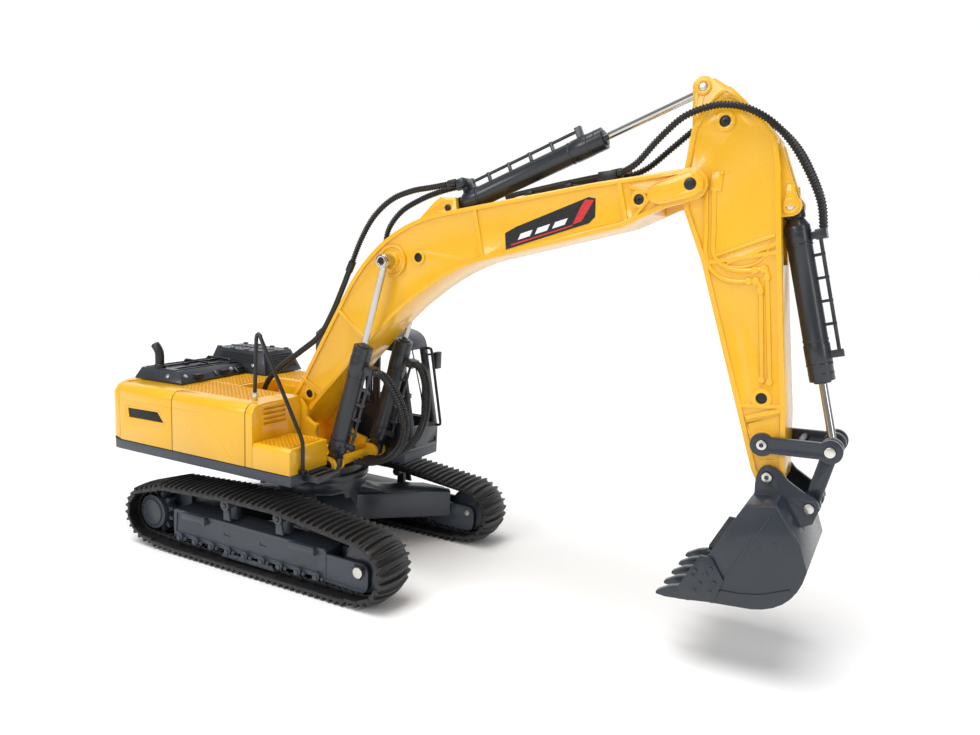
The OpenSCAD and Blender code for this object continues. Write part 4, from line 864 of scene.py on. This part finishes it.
relief = Part("bucket_relief", "bucket", NAVY)
relief.bead([(181.8, 52.6), (170.2, 30.4)], 20.35, 0.7, 0.22)
relief.bead([(168.4, 26.6), (175, 26.9), (181.4, 28.1), (189.2, 31.6)], 20.3, 1.0, 0.4)
relief.bead([(179.6, 41.2), (179.7, 45.1), (184.3, 45.0), (184.5, 41.4)], 20.35, 0.35, 0.16)
relief.bead([(175.4, 54.4), (183.2, 55.8), (190, 46)], 20.0, 0.8, 0.5)
for p in ((162.0, 31.8), (166.5, 33.4), (165.1, 30.8), (163.7, 28.0), (168.0, 29.2)):
    relief.disc(p, 0.7, 21.2, 21.75, 6)
relief.washer((171.8, 42.7), 0.55, 1.0, 20.3, 20.5, 18)
relief.both()
for y in (-10, 0, 10):
    relief.tube([(158.5, y, 21.3), (166, y, 22.1), (175.2, y, 22.8), (182, y, 23.4)], 0.55, 8)
relief.make(0.1)
teeth = Part("tooth_adapters", "bucket", NAVY)
adapter = [(155.8, 20.8), (160.4, 21.0), (162.6, 22.6), (162.0, 24.0), (158, 24.6), (155.8, 24.2)]
for k in range(-2, 3):
    y = k * 9
    teeth.side(adapter, y - 1.45, y + 1.45)
teeth.make(0.25)

# ---- hoses ----

lower = Part("supply_hose", "upper_body", HOSE)
route = [
    (-30, -3.2, 53), (-29, -3.2, 60), (-26, -3.2, 66), (-19, -3.2, 72.5), (-9, -3.2, 79.5), (1, -3.2, 87),
    (7, -3.2, 96), (12, -3.2, 106), (16.5, -3.2, 116),
]
lower.tube(smooth_path(route, 1.5), 1.25, 14, 0.7)
upper = [
    (16.5, -3.2, 116), (21, -3.2, 126), (27, -3.2, 135), (35, -3.2, 141.4), (44, -3.2, 144.6), (53, -3.2, 146),
    (61.4, -3.2, 147.4),
]
corrugated(lower, upper)
o = lower.make(0, replaces=["supply_hoses"], ride=False)
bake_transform(o)

second = Part("return_hose", "boom", HOSE)
corrugated(second, [(28.7, 3.2, 120.9), (28.2, 3.2, 126), (30, 3.2, 131.6), (35.5, 3.2, 137.6), (44, 3.2, 142),
                    (52, 3.2, 144.8), (61.4, 3.2, 147)])
second.make(0)
clips = Part("hose_fittings", "boom", BLACK)
clips.rod((15.4, -3.2, 113.6), (17.3, -3.2, 117.6), 1.5, 8)
for y in (-5, 5):
    clips.rod((121.6, y, 150.2), (125.2, y, 150.9), 1.5, 6)
clips.rod((28.6, 3.2, 119.8), (28.5, 3.2, 123), 1.5, 6)
clips.make(0.12)

ports = Part("arm_port_fittings", "arm_cylinder_tube", BLACK)
for y, z in ((-3.2, 147.5), (3.2, 147.1)):
    ports.rod((59.4, y, z - 0.5), (62.8, y, z + 0.1), 1.5, 6)
ports.make(0.12)

over = [(124, -5, 150.4), (130, -6.5, 153.4), (137, -8.8, 160), (144, -9.8, 166), (150, -9.9, 168.6),
        (156, -9.9, 169.6), (163, -9.8, 168.4), (170, -9.2, 164.6), (176, -7.4, 158.6), (181, -4.8, 150.6),
        (184.6, -2.6, 142.6), (185.9, -1.7, 135.2)]
arm_hose = Part("arm_hose_pair", "arm", HOSE)
corrugated(arm_hose, over)
arm_hose.both()
o = arm_hose.make(0, replaces=["arm_hoses"], ride=False)
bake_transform(o)

for name, sign in (("right", -1), ("left", 1)):
    pair = Part("cylinder_hose_pair_" + name, "upper_body", HOSE)
    for dy in (-1.25, 1.25):
        corrugated(
            pair,
            [(x, y + dy, z) for x, y, z in (
                (36, 13.5, 77.4), (39.6, 12.9, 76.2), (43, 11.2, 71.6), (45.4, 8.8, 64.6), (45.9, 6.6, 56.6),
                (43.2, 4.9, 48.8), (37.2, 3.8, 42.4), (29.5, 3.4, 39), (20.5, 3.2, 38))],
        )
    if sign < 0:
        pair.flipped()
    o = pair.make(0, replaces=["cylinder_hoses_" + name], ride=False)
    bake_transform(o)

# ---- cylinders: rings and fittings on the tubes ----


def along(foot, eye, x):
    """A side-view point x along a cylinder from its foot eye."""
    return Vector(foot) + (Vector(eye) - Vector(foot)).normalized() * x


def tube_rings(name, body, foot, eye, length, ys, widest=4):
    """Raised rings round the tubes at ys, none wider in radius than widest."""
    part = Part(name, body, DARK)
    for y in ys:
        for x0, x1, r in (
            (length, length + 0.7, 2.5),
            (length - 2.6, length - 1.9, 3.76),
            (length - 12.6, length - 11.9, 3.74),
            (length - 5.4, length - 4.6, 3.86),
            (length - 0.9, length + 0.05, 3.55),
            (7.4, 8.1, 3.9),
            (11.2, 11.9, 3.84),
        ):
            a, b = along(foot, eye, x0), along(foot, eye, x1)
            part.rod((a.x, y, a.y), (b.x, y, b.y), min(r, widest), 40)
    part.make(0.12)


tube_rings("boom_tube_rings", "boom_cylinder_tubes", BOOM_CYLINDER_FOOT, BOOM_CYLINDER_EYE, 49.3, (-13.5, 13.5))
tube_rings("arm_tube_rings", "arm_cylinder_tube", ARM_CYLINDER_FOOT, ARM_CYLINDER_EYE, 60.6, (0,), 3.78)
tube_rings("bucket_tube_rings", "bucket_cylinder_tube", BUCKET_CYLINDER_FOOT, ROCKER_EYE, 52.3, (0,))

# ---- CAD nodes that show, with softened edges ----

LOOKS = {
    YELLOW: ("counterweight side_housing_right side_housing_left toolbox centre_deck boom_bracket boom arm"),
    SLATE: (
        "track_frame_right track_frame_left swing_frame track_rollers_right track_rollers_left carrier_rollers"
        " sprocket_right sprocket_left"
    ),
    NAVY: (
        "engine_hood hood_grille cab_shell rocker bucket_link bucket bucket_teeth side_cutters car_body"
        " idler_right idler_left front_step"
    ),
    DARK: "slew_ring boom_tube_right boom_tube_left arm_tube bucket_tube",
    BLACK: "cab_mirror cab_seat bracket_pins boom_plugs boom_pins boom_hard_line arm_plugs",
    GREY: "cab_console",
    CHROME: "boom_rod_right boom_rod_left arm_rod bucket_rod",
    STEEL: "frame_screws wheel_pins swivel_pin arm_pins rocker_pin link_pin",
}
WIDTHS = {
    "counterweight": 0.5, "toolbox": 0.9, "boom": 0.22, "arm": 0.3, "boom_bracket": 0.3, "engine_hood": 0.5,
    "cab_shell": 0.35, "bucket": 0.22, "rocker": 0.35, "bucket_link": 0.35, "swing_frame": 0.3, "car_body": 0.5,
    "bucket_teeth": 0.3,
}
for material, names in LOOKS.items():
    for name in names.split():
        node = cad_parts[name]
        node.data.materials.clear()
        node.data.materials.append(material)
        soften(node, WIDTHS.get(name, 0.12), cad=True)

# ---- floor and studio light ----

floor_mat, tree, shader = node_tree("studio_floor")
patch = noise(tree, 3.0, 3.0)
mix = tree.nodes.new("ShaderNodeMix")
mix.data_type = "RGBA"
mix.inputs["A"].default_value = (0.9, 0.9, 0.9, 1)
mix.inputs["B"].default_value = (0.93, 0.93, 0.93, 1)
tree.links.new(spread(tree, patch, 0, 1).outputs["Result"], mix.inputs["Factor"])
tree.links.new(mix.outputs["Result"], shader.inputs["Base Color"])
shader.inputs["Roughness"].default_value = 0.7
bpy.ops.mesh.primitive_plane_add(size=12, location=(0, 0, -0.0002))
floor = bpy.context.object
floor.name = "studio_floor"
floor.data.materials.append(floor_mat)

world = bpy.data.worlds.new("studio")
world.use_nodes = True
tree = world.node_tree
sky = tree.nodes["Background"]
coord = tree.nodes.new("ShaderNodeTexCoord")
parts = tree.nodes.new("ShaderNodeVectorMath")
parts.operation = "DOT_PRODUCT"
parts.inputs[1].default_value = (-0.467, 0.884, 0.0)
tree.links.new(coord.outputs["Generated"], parts.inputs[0])
wall = tree.nodes.new("ShaderNodeMapRange")
wall.interpolation_type = "SMOOTHSTEP"
wall.inputs["From Min"].default_value = 0.35
wall.inputs["From Max"].default_value = 0.72
wall.inputs["To Min"].default_value = 0.34
wall.inputs["To Max"].default_value = 1.02
tree.links.new(parts.outputs["Value"], wall.inputs["Value"])
tree.links.new(wall.outputs["Result"], sky.inputs["Strength"])
sky.inputs["Color"].default_value = (1, 1, 1, 1)
bpy.context.scene.world = world


def aim(lamp, place, target):
    lamp.location = place
    lamp.rotation_mode = "QUATERNION"
    lamp.rotation_quaternion = (Vector(target) - Vector(place)).to_track_quat("-Z", "Y")
    bpy.context.scene.collection.objects.link(lamp)


def softbox(name, place, target, size, power):
    data = bpy.data.lights.new(name, "AREA")
    data.shape = "RECTANGLE"
    data.size, data.size_y = size
    data.energy = power
    aim(bpy.data.objects.new(name, data), place, target)


top = bpy.data.lights.new("ceiling_light", "SUN")
top.energy = 2.3
top.angle = math.radians(38)
aim(bpy.data.objects.new("ceiling_light", top), (-0.1, -0.25, 1.0), (0, 0, 0))
softbox("key_light", (-0.3, -0.95, 0.6), (0, 0, 0.06), (0.5, 0.35), 3.5)
softbox("side_light", (0.85, -0.35, 0.4), (0.05, 0, 0.08), (0.2, 0.6), 1.6)

settings = bpy.context.scene.view_settings
settings.view_transform = "Standard"
settings.look = "None"
settings.exposure = 0.0
